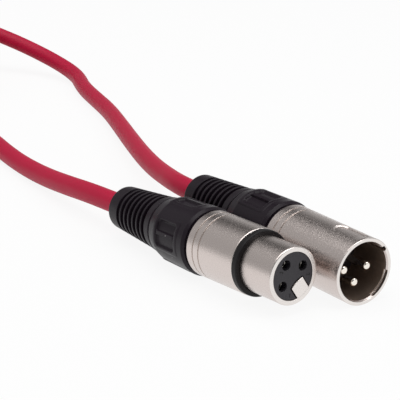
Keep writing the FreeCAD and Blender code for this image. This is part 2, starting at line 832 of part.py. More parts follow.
def coil_turn():
    """How far the cable turns in the coil, clockwise from above, in degrees."""
    return (size("coil_start") - size("coil_end")) % 360 + 360 * size("coil_loops")


def coil_place(turned_by):
    """Where the jacket's middle is after a turn: it spirals in and out a layer at a time and climbs at
    each reversal, over one biarc before it and one after it."""
    layer = coil_turn() / size("coil_layers")
    step = layer / BIARCS_PER_LAYER
    pitch = size("coil_pitch")
    number, past = divmod(turned_by, layer)
    inward = past if number % 2 == 0 else layer - past
    radius = size("coil_radius") - pitch * inward / 360
    climbed = sum(min(max((turned_by - layer * turn + step) / (2 * step), 0.0), 1.0)
                  for turn in range(1, int(size("coil_layers"))))
    angle = math.radians(size("coil_start") - turned_by)
    centre = Vector(size("coil_x"), size("coil_y"), size("coil_z") + pitch * climbed)
    return centre + Vector(math.cos(angle), math.sin(angle), 0) * radius


def coil_way(angle):
    """The level direction of travel, clockwise, at an angle round the coil."""
    return Vector(math.sin(math.radians(angle)), -math.cos(math.radians(angle)), 0)


def coil_path():
    """The coil's edges, with one cable diameter of straight cable at each end, and its two ends."""
    count = BIARCS_PER_LAYER * int(size("coil_layers"))
    total = coil_turn()
    turns = [total * number / count for number in range(count + 1)]
    points = [coil_place(turn) for turn in turns[:-1]] + [coil_place(total - TINY)]
    ways = [coil_way(size("coil_start"))]
    ways += [(coil_place(turn + NUDGE) - coil_place(turn - NUDGE)).normalize() for turn in turns[1:-1]]
    ways.append(coil_way(size("coil_end")))
    leg = 2 * size("cable_radius")
    ends = (points[0] - ways[0] * leg, points[-1] + ways[-1] * leg)
    return wound_path(points, ways, leg, leg), ends, (ways[0], ways[-1])


def report_gap(edges, diameter):
    """Print the least gap between a winding's turns and its tightest arc, measured on its middle line."""
    path = Part.Wire(edges)
    points = path.discretize(int(path.Length / GAP_STEP))
    apart = int(4 * diameter / GAP_STEP)
    least = min((points[low] - points[high]).Length
                for low in range(len(points))
                for high in range(low + apart, len(points)))
    tightest = min(edge.Curve.Radius for edge in edges if isinstance(edge.Curve, Part.Circle))
    print("coil: least gap %.2f, tightest arc %.1f, length %.0f" % (least - diameter, tightest, path.Length))


def stretch(name, connector, prefix, first_run, middle_points, last_run, coil_end, coil_side):
    """The cable from a gland's rear face to the coil, square to both."""
    depth = boot_depth(prefix) + size("gland_rear")
    leaving = connector.multVec(Vector(depth, 0, 0))
    second = connector.multVec(Vector(depth + first_run, 0, 0))
    before_coil = coil_end + coil_side * last_run
    points = [leaving, second, *[Vector(*point) for point in middle_points], before_coil, coil_end]
    edges, radii = rounded_path(points)
    runs = [(after - before).Length for before, after in zip(points, points[1:])]
    print("%s runs:" % name, " ".join("%.1f" % run for run in runs))
    print("%s radii:" % name, " ".join("%.0f" % radius for radius in radii))
    return tube(name, edges, size("cable_radius"))


def coil_tie():
    """A strap round the coil's loops, as a rounded rectangular band."""
    thickness = size("tie_thickness")
    jacket = size("cable_radius")
    inner = size("coil_radius") - size("coil_pitch") * coil_turn() / size("coil_layers") / 360
    low = size("coil_z") - jacket - size("tie_gap")
    high = size("coil_z") + size("coil_pitch") * (size("coil_layers") - 1) + jacket + size("tie_gap")
    near = inner - jacket - size("tie_side_gap")
    far = size("coil_radius") + jacket + size("tie_side_gap")
    width = size("tie_width")

    def block(grow):
        corner = Vector(near - grow, -width / 2, low - grow)
        solid = Part.makeBox(far - near + 2 * grow, width, high - low + 2 * grow, corner)
        rims = [edge for edge in solid.Edges if abs(edge.tangentAt(edge.FirstParameter).y) > 0.9]
        return solid.makeFillet(jacket + grow, rims)

    item = doc.addObject("Part::Feature", "coil_tie")
    item.Shape = block(thickness).cut(block(0.0))
    centre = Vector(size("coil_x"), size("coil_y"), 0)
    item.Placement = Placement(centre, Rotation(Vector(0, 0, 1), size("tie_angle")))
    return item


def place_all(items, placement):
    """Give pieces that share a frame their place on the table; from here it no longer follows the sheet."""
    doc.recompute()
    for item in items:
        for axis in "xyz":
            item.setExpression("Placement.Base." + axis, None)
        item.Placement = placement.multiply(item.Placement)
    return items


def contact_at(item, across, height):
    """Move a contact that was turned about X to its own line."""
    item.Placement = Placement(Vector(0, across, height), Rotation())
    return item


def rear_group(prefix, connector):
    """The chuck and the two boot pieces of one connector, with the pads rolled to where they lie."""
    boot = connector.multiply(along(boot_depth(prefix)))
    rolled = connector.multiply(along(boot_depth(prefix), size(prefix + "_pad_turn")))
    return (place_all([chuck(prefix), boot_gland(prefix)], boot)
            + place_all([boot_body(prefix)], rolled))


def female_connector(connector):
    """All the pieces of the female connector."""
    contacts = [contact_at(female_contact(number), across, height)
                for number, across, height in contact_places("female")]
    cores = [core("female", number, across, height, size("socket_cup_rear"))
             for number, across, height in contact_places("female")]
    pieces = [female_shell(), female_ring(), female_insert(), female_latch(), female_latch_pin(),
              latch_spring(), cable_end("female", "socket_cup_rear")]
    return place_all(pieces + contacts + cores, connector) + rear_group("female", connector)


def male_connector(connector):
    """All the pieces of the male connector."""
    pins = [contact_at(male_pin(number), across, height) for number, across, height in contact_places("male")]
    cores = [core("male", number, across, height, size("pin_cup_rear"))
             for number, across, height in contact_places("male")]
    pieces = [male_shell(), male_insert(), cable_end("male", "pin_cup_rear")]
    return place_all(pieces + pins + cores, connector) + rear_group("male", connector)


def cable_pieces(female, male):
    """The coil, its tie and the two stretches of cable that lead to it."""
    edges, ends, ways = coil_path()
    report_gap(edges, 2 * size("cable_radius"))
    coil = tube("cable_coil", edges, size("cable_radius"))
    female_stretch = stretch("cable_female_stretch", female, "female", FEMALE_FIRST_RUN, FEMALE_RUN,
                             FEMALE_LAST_RUN, ends[0], -ways[0])
    male_stretch = stretch("cable_male_stretch", male, "male", MALE_FIRST_RUN, MALE_RUN,
                           MALE_LAST_RUN, ends[1], ways[1])
    return [coil, coil_tie(), female_stretch, male_stretch]


female_place = lying("female")
male_place = lying("male")
nodes = female_connector(female_place) + male_connector(male_place) + cable_pieces(female_place, male_place)
doc.recompute()

for item in doc.Objects:
    if "Invalid" in item.State or "Error" in item.State:
        raise RuntimeError("%s did not recompute" % item.Name)
os.makedirs("parts", exist_ok=True)
for node in nodes:
    shape = node.Shape
    if shape.isNull() or not shape.isValid() or len(shape.Solids) != 1:
        raise RuntimeError("%s is not one valid solid" % node.Label)
    shape.exportStep("parts/%s.step" % node.Label)
    bounds = shape.optimalBoundingBox(False)
    print("%-24s x %7.2f %7.2f  y %7.2f %7.2f  z %6.2f %6.2f" % (
        node.Label, bounds.XMin, bounds.XMax, bounds.YMin, bounds.YMax, bounds.ZMin, bounds.ZMax))
print("%d nodes" % len(nodes))
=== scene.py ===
# %% [markdown]
# # A microphone cable
# Two metal three-pin connectors lie side by side on a white table, a female one in front and a male one
# behind, and three metres of crimson cable join them. The first cell loads the solids as a fixed frame.
# Every piece made below is put in the same place as the solid that it stands for.

# %% Load the frame
import math

import bmesh
import bpy
import numpy as np
from mathutils import Matrix, Vector


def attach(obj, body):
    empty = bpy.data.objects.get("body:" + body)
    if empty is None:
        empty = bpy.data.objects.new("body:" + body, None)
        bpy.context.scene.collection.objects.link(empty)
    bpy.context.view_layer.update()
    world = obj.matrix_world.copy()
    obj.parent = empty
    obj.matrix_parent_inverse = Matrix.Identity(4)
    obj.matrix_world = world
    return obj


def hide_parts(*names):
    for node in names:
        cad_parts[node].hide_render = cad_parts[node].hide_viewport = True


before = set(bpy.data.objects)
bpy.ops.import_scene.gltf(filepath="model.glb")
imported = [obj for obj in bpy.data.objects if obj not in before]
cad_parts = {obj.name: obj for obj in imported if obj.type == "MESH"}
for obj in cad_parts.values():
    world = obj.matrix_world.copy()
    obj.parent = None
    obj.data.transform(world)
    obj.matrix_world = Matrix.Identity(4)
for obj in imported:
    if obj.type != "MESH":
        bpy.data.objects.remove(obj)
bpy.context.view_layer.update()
print("solids:", len(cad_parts))

# %% [markdown]
# Each connector is worked out in a frame of its own, in millimetres: X is the depth behind its front
# face, and Z points at its key. A matrix carries that frame to where the connector lies on the table. The
# roll of a point is its angle about X, from the key.

# %% Where the connectors lie
MM = 0.001


def lying(face, turn, tilt, roll):
    """The place of a connector whose face is at a point, turned about Z, then tilted, then rolled."""
    turned = Matrix.Identity(4)
    for axis, angle in (("Z", turn), ("Y", tilt), ("X", roll)):
        turned = turned @ Matrix.Rotation(math.radians(angle), 4, axis)
    return Matrix.Translation(face) @ turned


def along(depth, roll=0.0):
    """A step along a connector's own axis, and a roll about it."""
    return Matrix.Translation((depth, 0, 0)) @ Matrix.Rotation(math.radians(roll), 4, "X")


def on_table(points, place):
    """Points in a connector's own millimetres, carried by its matrix and given in metres."""
    turn = np.array(place.to_3x3())
    return (np.asarray(points, float).reshape(-1, 3) @ turn.T + np.array(place.translation)) * MM


def in_scene(name, data):
    """A new object of this data, linked to the scene."""
    item = bpy.data.objects.new(name, data)
    bpy.context.scene.collection.objects.link(item)
    return item


FEMALE_REAR = 34.1
MALE_REAR = 31.6
BOOT_INSET = 4.9
GLAND_REAR = 48.9
FEMALE = lying((36.2, -10.3, 10.95), 180.0, 1.5, 147.0)
MALE = lying((41.76, 9.33, 9.39), 178.25, -1.04, 3.0)
FEMALE_BOOT = FEMALE @ along(FEMALE_REAR - BOOT_INSET)
MALE_BOOT = MALE @ along(MALE_REAR - BOOT_INSET)
female_exit = FEMALE_BOOT @ Vector((GLAND_REAR, 0, 0))
male_exit = MALE_BOOT @ Vector((GLAND_REAR, 0, 0))
print("cable leaves the glands at", tuple(female_exit), tuple(male_exit))

# %% [markdown]
# The camera looks down on the front faces from their right, with a long lens. Its place was found by
# fitting the rims and edges of both connectors to the picture.

# %% Camera
VIEW_TARGET = Vector((-31.7, 9.79, 10.0)) * MM
VIEW_BACK = Vector((0.7665, -0.5632, 0.3087))
VIEW_DISTANCE = 424.97 * MM
LENS = 126.32

camera = in_scene("camera", bpy.data.cameras.new("camera"))
camera.data.lens = LENS
camera.location = VIEW_TARGET + VIEW_BACK * VIEW_DISTANCE
camera.rotation_euler = VIEW_BACK.to_track_quat("Z", "Y").to_euler()
bpy.context.scene.camera = camera
print("camera at", tuple(round(value, 4) for value in camera.location))

# %% [markdown]
# The cable is one smooth line from gland to gland. It leaves each gland straight, sinks to the table and
# wanders to the left, out of the picture, where the rest of its length is wound into a tied coil of four
# layers. A quadratic spline cuts inside its control points, so the coil's points stand a little outside
# the turns that they make.

# %% Route of the cable
CABLE_RADIUS = 3.25
FEMALE_RUN = [
    (-77.4, -9.0, 6.5), (-95.4, -6.7, 4.4), (-114.4, -4.4, 3.4), (-133.4, -1.3, 3.3),
    (-151.4, 2.7, 3.3), (-169.4, 3.6, 3.3), (-187.1, 0.5, 3.4), (-203.5, -6.8, 3.8)]
MALE_RUN = [
    (-48.4, 13.2, 10.5), (-59.7, 17.2, 9.2), (-72.5, 21.7, 8.0), (-89.1, 28.2, 7.0),
    (-110.8, 37.8, 5.8), (-135.9, 49.2, 4.6), (-159.8, 59.5, 3.8), (-180.1, 66.4, 3.35),
    (-201.2, 73.2, 3.3), (-221.0, 82.4, 3.8), (-241.5, 81.8, 7.5), (-260.0, 72.0, 14.5),
    (-275.1, 57.5, 21.5)]
FEMALE_FIRST_RUN = 16.9
FEMALE_LAST_RUN = 11.6
MALE_FIRST_RUN = 7.3
MALE_LAST_RUN = 12.0
COIL_CENTRE = Vector((-262.8, 2.3, 4.31))
COIL_RADIUS = 46.0
COIL_PITCH = 7.4
COIL_LAYERS = 4
COIL_START = -45.0
COIL_END = 143.0
COIL_LOOPS = 11
COIL_POINTS = 168
CLIMB_PARTS = 12
SPLINE_SHARE = 0.974
coil_turn = (COIL_START - COIL_END) % 360 + 360 * COIL_LOOPS


def coil_points():
    """Control points of the coil: the radius runs in and out by one pitch a turn, a layer at a time, and
    the height climbs by one pitch at each change of layer, half of it on each side of the change."""
    turned = np.linspace(0.0, coil_turn, COIL_POINTS)
    layer = coil_turn / COIL_LAYERS
    number = np.minimum(turned // layer, COIL_LAYERS - 1)
    past = turned - number * layer
    inward = np.where(number % 2 == 0, past, layer - past)
    climb = layer / CLIMB_PARTS
    changes = layer * np.arange(1, COIL_LAYERS)
    climbed = np.clip((turned[:, None] - changes + climb) / (2 * climb), 0, 1).sum(1)
    radius = (COIL_RADIUS - COIL_PITCH * inward / 360) / SPLINE_SHARE
    angle = np.radians(COIL_START - turned)
    return np.column_stack([
        COIL_CENTRE.x + radius * np.cos(angle),
        COIL_CENTRE.y + radius * np.sin(angle),
        COIL_CENTRE.z + COIL_PITCH * climbed])


def coil_way(angle):
    """The level direction of travel, clockwise, at an angle round the coil."""
    return np.array([math.sin(math.radians(angle)), -math.cos(math.radians(angle)), 0.0])


def coil_edge(angle, layer):
    """The middle of the jacket on the coil's outer turn."""
    spoke = np.array([math.cos(math.radians(angle)), math.sin(math.radians(angle)), 0.0])
    return np.array(COIL_CENTRE) + spoke * COIL_RADIUS + np.array([0, 0, COIL_PITCH * layer])


diameter = 2 * CABLE_RADIUS
into_coil = coil_edge(COIL_START, 0) - coil_way(COIL_START) * diameter
out_of_coil = coil_edge(COIL_END, COIL_LAYERS - 1) + coil_way(COIL_END) * diameter
route = np.array([
    tuple(female_exit), tuple(FEMALE_BOOT @ Vector((GLAND_REAR + FEMALE_FIRST_RUN, 0, 0))), *FEMALE_RUN,
    into_coil - coil_way(COIL_START) * FEMALE_LAST_RUN, into_coil, *coil_points()[1:-1],
    out_of_coil, out_of_coil + coil_way(COIL_END) * MALE_LAST_RUN, *MALE_RUN[::-1],
    tuple(MALE_BOOT @ Vector((GLAND_REAR + MALE_FIRST_RUN, 0, 0))), tuple(male_exit)])
print("route points:", len(route))

# %% [markdown]
# The route becomes a curve with a round section, one control point for each of its points.

# %% Cable
curve = bpy.data.curves.new("cable_jacket", "CURVE")
curve.dimensions = "3D"
curve.bevel_depth = CABLE_RADIUS * MM
curve.bevel_resolution = 7
curve.resolution_u = 5
spline = curve.splines.new("NURBS")
spline.points.add(len(route) - 1)
spline.points.foreach_set("co", np.column_stack([route * MM, np.ones(len(route))]).ravel())
spline.order_u = 3
spline.use_endpoint_u = True
cable = in_scene("cable_jacket", curve)
print("cable control points:", len(spline.points))

# %% [markdown]
# Most pieces here are turned on a lathe or moulded round the cable's axis. Each is a wall between an
# outer and an inner line of depths and radii. Where a line has a corner, a small arc takes its place,
# since real edges are never sharp and catch the light as a thin bright line. A point close to each end of
# an arc keeps the flats beside it flat in the shading.

# %% Lines of depths and radii
FLAT_HOLD = 0.03
HAIR = 1e-5
ARC_SHARE = 0.45
HOLD_SHARE = 0.48


def rounded(corners, steps=5):
    """Points along a line of (depth, radius, rounding) corners. At each inner corner the two sides are
    cut back by rounding over the tangent of half the corner's angle, and the spokes of the arc between
    the cuts turn evenly from one to the other. No arc takes up more than a share of a side's length."""
    table = np.array([(*corner, 0.0)[:3] for corner in corners])
    place = table[:, :2]
    corner = place[1:-1]
    back = place[:-2] - corner
    ahead = place[2:] - corner
    lengths = np.linalg.norm([back, ahead], axis=2)
    back = back / lengths[0][:, None]
    ahead = ahead / lengths[1][:, None]
    half = np.arccos(np.clip((back * ahead).sum(1), -1, 1)) / 2
    reach = np.minimum(table[1:-1, 2] / np.tan(half), ARC_SHARE * lengths.min(0))
    middle = (back + ahead) / np.linalg.norm(back + ahead, axis=1)[:, None]
    centre = (corner + middle * (reach / np.cos(half))[:, None])[:, None]
    turn = (math.pi - 2 * half)[:, None, None]
    share = np.linspace(0, 1, steps)[None, :, None]
    first = (corner + back * reach[:, None])[:, None] - centre
    last = (corner + ahead * reach[:, None])[:, None] - centre
    arc = centre + (np.sin((1 - share) * turn) * first + np.sin(share * turn) * last) / np.sin(turn)
    hold = np.minimum(reach + FLAT_HOLD, HOLD_SHARE * lengths.min(0))[:, None]
    points = np.concatenate([(corner + back * hold)[:, None], arc, (corner + ahead * hold)[:, None]], 1)
    return np.concatenate([place[:1], points.reshape(-1, 2), place[-1:]])


def spread(line):
    """A line's depths and radii, each depth a hair beyond the last where two are the same."""
    return line[:, 0] + HAIR * np.arange(len(line)), line[:, 1]


def stations(*lines, marks=()):
    """The depths of all the points of several lines, and of other marks, in order."""
    return np.unique(np.concatenate([spread(line)[0] for line in lines] + [np.asarray(marks, float)]))


def radius_at(line, depths):
    """A line's radius at each depth, straight between its points."""
    return np.interp(depths, *spread(line))


# %% [markdown]
# The wall itself is a grid of depths and rolls, laid once at the outer radius and once at the inner one.
# A radius may change with both, which makes pads, hollows and keyways, and cells may be left out, which
# makes windows. The grid's lines stand close together where the shape has an edge.

# %% Walls
EVEN_ROLLS = np.arange(-180.0, 180.0, 2.5)
MERGE = 1e-6
FLAT = math.radians(1)
SHARP = math.radians(40)


def stops(marks, soft, step, low, high):
    """Grid lines from low to high: one each side of each mark and one on it, no further apart than step."""
    marks = np.asarray(marks, float)
    close = np.concatenate([[low, high], marks - soft, marks, marks + soft])
    close = np.unique(close[(close >= low) & (close <= high)])
    spans = [np.linspace(before, after, max(math.ceil((after - before) / step), 1) + 1)[:-1]
             for before, after in zip(close, close[1:])]
    return np.append(np.concatenate(spans), high)


def ramp(values, at, soft):
    """0 before a place and 1 after it, on the smooth curve 3t^2 - 2t^3 across twice soft."""
    share = np.clip((values - at + soft) / (2 * soft), 0, 1)
    return share * share * (3 - 2 * share)


def patch(across, along_it, half_across, half_along, corner, soft):
    """1 inside a rounded rectangle and 0 outside: the distance to its edge is the length of what lies
    beyond the corner's centre, less the corner's radius."""
    beyond_across = np.abs(across) - half_across + corner
    beyond_along = np.abs(along_it) - half_along + corner
    outside = np.hypot(np.maximum(beyond_across, 0), np.maximum(beyond_along, 0))
    inside = np.minimum(np.maximum(beyond_across, beyond_along), 0)
    return 1 - ramp(outside + inside - corner, 0.0, soft)


def roll_from(rolls, centre):
    """How far each roll is from another, in degrees from -180 to 180."""
    return (rolls - centre + 180) % 360 - 180


def wall(depths, rolls, outer, inner, keep=None, inner_rolls=None):
    """Points and faces of a round wall. A point at depth d, roll a and radius r is (d, -r sin a, r cos a).
    Kept cells make outer and inner faces, and a strip joins them where a kept cell has no neighbour. The
    inner points can have rolls of their own, which makes a window's sides parallel."""
    shape = (len(rolls), len(depths))
    keep = np.ones((shape[0], shape[1] - 1), bool) if keep is None else keep
    layers = []
    for radius, turns in ((outer, rolls), (inner, rolls if inner_rolls is None else inner_rolls)):
        radius, angle = np.broadcast_to(radius, shape), np.radians(turns)[:, None]
        layer = np.broadcast_arrays(depths[None, :], -radius * np.sin(angle), radius * np.cos(angle))
        layers.append(np.stack(layer, -1))
    index = np.arange(shape[0] * shape[1]).reshape(shape)
    ahead = np.roll(index, -1, axis=0)
    cells = np.stack([index[:, :-1], index[:, 1:], ahead[:, 1:], ahead[:, :-1]], -1)[keep]
    ends = np.pad(keep, ((0, 0), (1, 1)))
    rims = ends[:, :-1] != ends[:, 1:]
    sides = keep != np.roll(keep, 1, axis=0)
    strips = [np.stack([low, high, high + index.size, low + index.size], -1)
              for low, high in ((index[rims], ahead[rims]), (index[:, :-1][sides], index[:, 1:][sides]))]
    faces = np.concatenate([cells, cells[:, ::-1] + index.size, *strips])
    return np.concatenate([layer.reshape(-1, 3) for layer in layers]), faces


def merge_doubles(work):
    """Make one point of those that are less than a micron apart."""
    bmesh.ops.remove_doubles(work, verts=work.verts, dist=MERGE)


def turn_outwards(work):
    """Turn every face so that its front is outside."""
    bmesh.ops.recalc_face_normals(work, faces=work.faces)


def join_flats(work):
    """Make one face of those that lie in one plane."""
    bmesh.ops.dissolve_limit(work, angle_limit=FLAT, verts=work.verts, edges=work.edges)


def rework(mesh, *steps):
    """Put a mesh through these steps, and shade it smooth."""
    work = bmesh.new()
    work.from_mesh(mesh)
    for step in steps:
        step(work)
    work.to_mesh(mesh)
    work.free()
    mesh.shade_smooth()


def piece_from(name, points, faces):
    """A piece of these points and faces, smooth where two faces meet at less than 40 degrees."""
    mesh = bpy.data.meshes.new(name)
    mesh.from_pydata(points.tolist(), [], faces.tolist())
    rework(mesh, merge_doubles, turn_outwards)
    mesh.set_sharp_from_angle(angle=SHARP)
    print(name, len(mesh.polygons), "faces")
    return in_scene(name, mesh)


def turned(name, place, outer, inner):
    """A piece that is the same all round: a wall between an outer and an inner line."""
    depths = stations(outer, inner)
    points, faces = wall(depths, EVEN_ROLLS, radius_at(outer, depths), radius_at(inner, depths))
    return piece_from(name, on_table(points, place), faces)


# %% [markdown]
# Finishes come next. What several of them share is a node group with named inputs and outputs: a fine
# grain with a slow mottle under it, specks of lint, a mask for the painted highlight on the rims and one
# for the inside of the male shell, where shade is painted. The shader itself stays in each material.

# %% Node groups
SPECK_SIZE = 0.16
# Sizes of the normal's X over which the painted rim highlight fades in.
RIM_HIGHLIGHT_NORMAL = (0.6, 0.9)
BORE_LIMIT = 8.3
BORE_START = 0.6


def new_node(tree, kind, inputs=None, **settings):
    """A node with its settings and some of its inputs, each joined to a socket or set to a value."""
    node = tree.nodes.new(kind)
    for name, value in settings.items():
        setattr(node, name, value)
    for name, value in (inputs or {}).items():
        if isinstance(value, bpy.types.NodeSocket):
            tree.links.new(value, node.inputs[name])
        else:
            node.inputs[name].default_value = value
    return node


def new_group(name, inputs, outputs):
    """An empty group with its sockets; the group, and the nodes at its two ends."""
    group = bpy.data.node_groups.new(name, "ShaderNodeTree")
    for direction, sockets in (("INPUT", inputs), ("OUTPUT", outputs)):
        for socket, kind in sockets:
            group.interface.new_socket(name=socket, in_out=direction, socket_type="NodeSocket" + kind)
    return group, group.nodes.new("NodeGroupInput"), group.nodes.new("NodeGroupOutput")


def sum_of(tree, operation, first, second):
    """The output of a Math node."""
    return new_node(tree, "ShaderNodeMath", {0: first, 1: second}, operation=operation).outputs[0]


def grain_group():
    """Fine noise for the height of a blasted or moulded surface, and slow noise for its colour."""
    group, given, result = new_group(
        "fine_grain", [("Vector", "Vector"), ("Grain", "Float"), ("Mottle", "Float")],
        [("Height", "Float"), ("Tone", "Float")])
    fine = new_node(group, "ShaderNodeTexNoise", {
        "Vector": given.outputs["Vector"], "Scale": given.outputs["Grain"], "Detail": 3.0, "Roughness": 0.6})
    slow = new_node(group, "ShaderNodeTexNoise", {
        "Vector": given.outputs["Vector"], "Scale": given.outputs["Mottle"], "Detail": 2.0, "Roughness": 0.5})
    group.links.new(fine.outputs[0], result.inputs["Height"])
    tone = sum_of(group, "ADD", sum_of(group, "MULTIPLY", fine.outputs[0], 0.5),
                  sum_of(group, "MULTIPLY", slow.outputs[0], 0.5))
    group.links.new(tone, result.inputs["Tone"])
    return group


def speck_group():
    """A mask of small, sparse specks of lint: the middles of a few of the cells of a Voronoi pattern."""
    group, given, result = new_group(
        "lint_specks", [("Vector", "Vector"), ("Density", "Float"), ("Share", "Float")], [("Mask", "Float")])
    cells = new_node(group, "ShaderNodeTexVoronoi", {
        "Vector": given.outputs["Vector"], "Scale": given.outputs["Density"]})
    near = sum_of(group, "LESS_THAN", cells.outputs["Distance"], SPECK_SIZE)
    chance = new_node(group, "ShaderNodeSeparateColor", {"Color": cells.outputs["Color"]})
    chosen = sum_of(group, "LESS_THAN", chance.outputs[0], given.outputs["Share"])
    group.links.new(sum_of(group, "MULTIPLY", near, chosen), result.inputs["Mask"])
    return group


def rim_highlight_group():
    """A mask of the faces that look along the connectors, which get a painted highlight: it grows from 0 to 1
    with the size of the normal's X."""
    group, given, result = new_group("painted_rim_highlight", [("Normal", "Vector")], [("Mask", "Float")])
    parts = new_node(group, "ShaderNodeSeparateXYZ", {"Vector": given.outputs["Normal"]})
    size = sum_of(group, "ABSOLUTE", parts.outputs["X"], 0.0)
    mask = new_node(group, "ShaderNodeMapRange", {
        "Value": size, "From Min": RIM_HIGHLIGHT_NORMAL[0], "From Max": RIM_HIGHLIGHT_NORMAL[1]})
    group.links.new(mask.outputs[0], result.inputs["Mask"])
    return group


def vector_of(tree, operation, inputs, output="Vector"):
    """An output of a Vector Math node."""
    node = new_node(tree, "ShaderNodeVectorMath", dict(enumerate(inputs)), operation=operation)
    return node.outputs[output]


def bore_group():
    """A mask of the inside of the male shell, which gets painted shade and more roughness: near its axis,
    which is the length of the cross product with the axis, and a little behind its face."""
    group, given, result = new_group("inside_male_shell", [("Vector", "Vector")], [("Mask", "Float")])
    away = vector_of(group, "SUBTRACT", (given.outputs["Vector"], MALE.translation * MM))
    way = MALE.to_3x3() @ Vector((1, 0, 0))
    side = vector_of(group, "CROSS_PRODUCT", (away, way))
    radius = vector_of(group, "LENGTH", (side,), "Value")
    depth = vector_of(group, "DOT_PRODUCT", (away, way), "Value")
    near = sum_of(group, "LESS_THAN", radius, BORE_LIMIT * MM)
    behind = sum_of(group, "GREATER_THAN", depth, BORE_START * MM)
    group.links.new(sum_of(group, "MULTIPLY", near, behind), result.inputs["Mask"])
    return group


GRAIN = grain_group()
SPECKS = speck_group()
RIM_HIGHLIGHT = rim_highlight_group()
BORE = bore_group()
print("node groups:", GRAIN.name, SPECKS.name, RIM_HIGHLIGHT.name, BORE.name)

# %% [markdown]
# A finish is a Principled shader. Its base colour runs between two tones by the grain's mottle, its
# roughness follows the grain, and the grain's height makes a slight bump. Specks of lint lighten the
# black plastics and the rubber. The shells' rims get a painted highlight, a lighter colour on the faces that
# look along the connectors, and the inside of the male one is duller, with painted shade in a darker brown.

# %% Finishes
LINT_DENSITY = 900.0
LINT_COLOUR = (0.35, 0.33, 0.33)
BORE_ROUGHNESS = 0.52
TONE_LIMITS = (0.3, 0.7)
BUMP_DISTANCE = 0.0001
FINISHES = {}


def covered(tree, below, above, mask):
    """The upper colour where the mask is 1, and the lower one, or the lower socket's, where it is 0."""
    inputs = {"Factor": mask, "A": below, "B": (*above, 1)}
    return new_node(tree, "ShaderNodeMix", inputs, data_type="RGBA").outputs["Result"]


def finish(slot, dark, light, roughness, grain, mottle, bump, metallic=0.0, lint=0.0, rims=None, bore_shade=None,
           **plain):
    """A material for one of the record's slots, from two colours, roughness limits, the cells a metre of
    the grain and of the mottle, and the bump's strength. The rims can have a painted highlight colour and
    the bore a painted shade colour, and other numbers are set on the shader's own sockets."""
    material = bpy.data.materials.new(slot)
    material.use_nodes = True
    tree = material.node_tree
    shader = tree.nodes["Principled BSDF"]
    place = tree.nodes.new("ShaderNodeTexCoord").outputs
    grains = new_node(tree, "ShaderNodeGroup", {
        "Vector": place["Object"], "Grain": grain, "Mottle": mottle}, node_tree=GRAIN).outputs
    colour = covered(tree, (*dark, 1), light, grains["Tone"])
    rough = new_node(tree, "ShaderNodeMapRange", {
        "Value": grains["Tone"], "From Min": TONE_LIMITS[0], "From Max": TONE_LIMITS[1],
        "To Min": roughness[0], "To Max": roughness[1]}).outputs[0]
    if lint:
        specks = new_node(tree, "ShaderNodeGroup", {
            "Vector": place["Object"], "Density": LINT_DENSITY, "Share": lint}, node_tree=SPECKS)
        colour = covered(tree, colour, LINT_COLOUR, specks.outputs["Mask"])
    # Painted highlight: the rims colour is a lighter tone on faces that look along the connectors.
    if rims:
        highlighted = new_node(tree, "ShaderNodeGroup", {"Normal": place["Normal"]}, node_tree=RIM_HIGHLIGHT)
        colour = covered(tree, colour, rims, highlighted.outputs["Mask"])
    # Painted shade: the bore colour is a darker brown inside the male shell; its roughness is raised there
    # too.
    if bore_shade:
        inside = new_node(tree, "ShaderNodeGroup", {"Vector": place["Object"]}, node_tree=BORE)
        colour = covered(tree, colour, bore_shade, inside.outputs["Mask"])
        duller = sum_of(tree, "MULTIPLY", inside.outputs["Mask"], BORE_ROUGHNESS)
        rough = sum_of(tree, "MAXIMUM", rough, duller)
    bumps = new_node(tree, "ShaderNodeBump", {
        "Height": grains["Height"], "Strength": bump, "Distance": BUMP_DISTANCE})
    tree.links.new(colour, shader.inputs["Base Color"])
    tree.links.new(rough, shader.inputs["Roughness"])
    tree.links.new(bumps.outputs["Normal"], shader.inputs["Normal"])
    shader.inputs["Metallic"].default_value = metallic
    for name, value in plain.items():
        shader.inputs[name.replace("_", " ")].default_value = value
    FINISHES[slot] = material


BLACKS = ((0.009, 0.0052, 0.009), (0.016, 0.0105, 0.016))
# The rims colour is a painted highlight, and the bore colour is painted shade, darker and browner inside the
# male shell.
finish("nickel_shell", (0.60, 0.53, 0.50), (0.72, 0.64, 0.61), (0.20, 0.30), 7000, 2600, 0.3,
       metallic=1.0, rims=(0.81, 0.765, 0.735), bore_shade=(0.43, 0.335, 0.275))
finish("contact_metal", (0.86, 0.80, 0.72), (0.94, 0.89, 0.82), (0.06, 0.12), 3000, 1500, 0.04, metallic=1.0)
finish("steel", (0.45, 0.44, 0.43), (0.58, 0.57, 0.56), (0.2, 0.35), 4000, 1600, 0.2, metallic=1.0)
finish("boot_plastic", *BLACKS, (0.28, 0.40), 3500, 260, 0.15, lint=0.02, Specular_IOR_Level=0.18)
finish("gland_plastic", *BLACKS, (0.34, 0.46), 3000, 240, 0.2, lint=0.03, Specular_IOR_Level=0.18)
finish("rubber_ring", (0.006, 0.0048, 0.0055), (0.011, 0.009, 0.010), (0.38, 0.5), 2600, 300, 0.25,
       lint=0.02, Specular_IOR_Level=0.22)
finish("insulator", (0.014, 0.012, 0.016), (0.026, 0.023, 0.029), (0.42, 0.55), 4000, 300, 0.2)
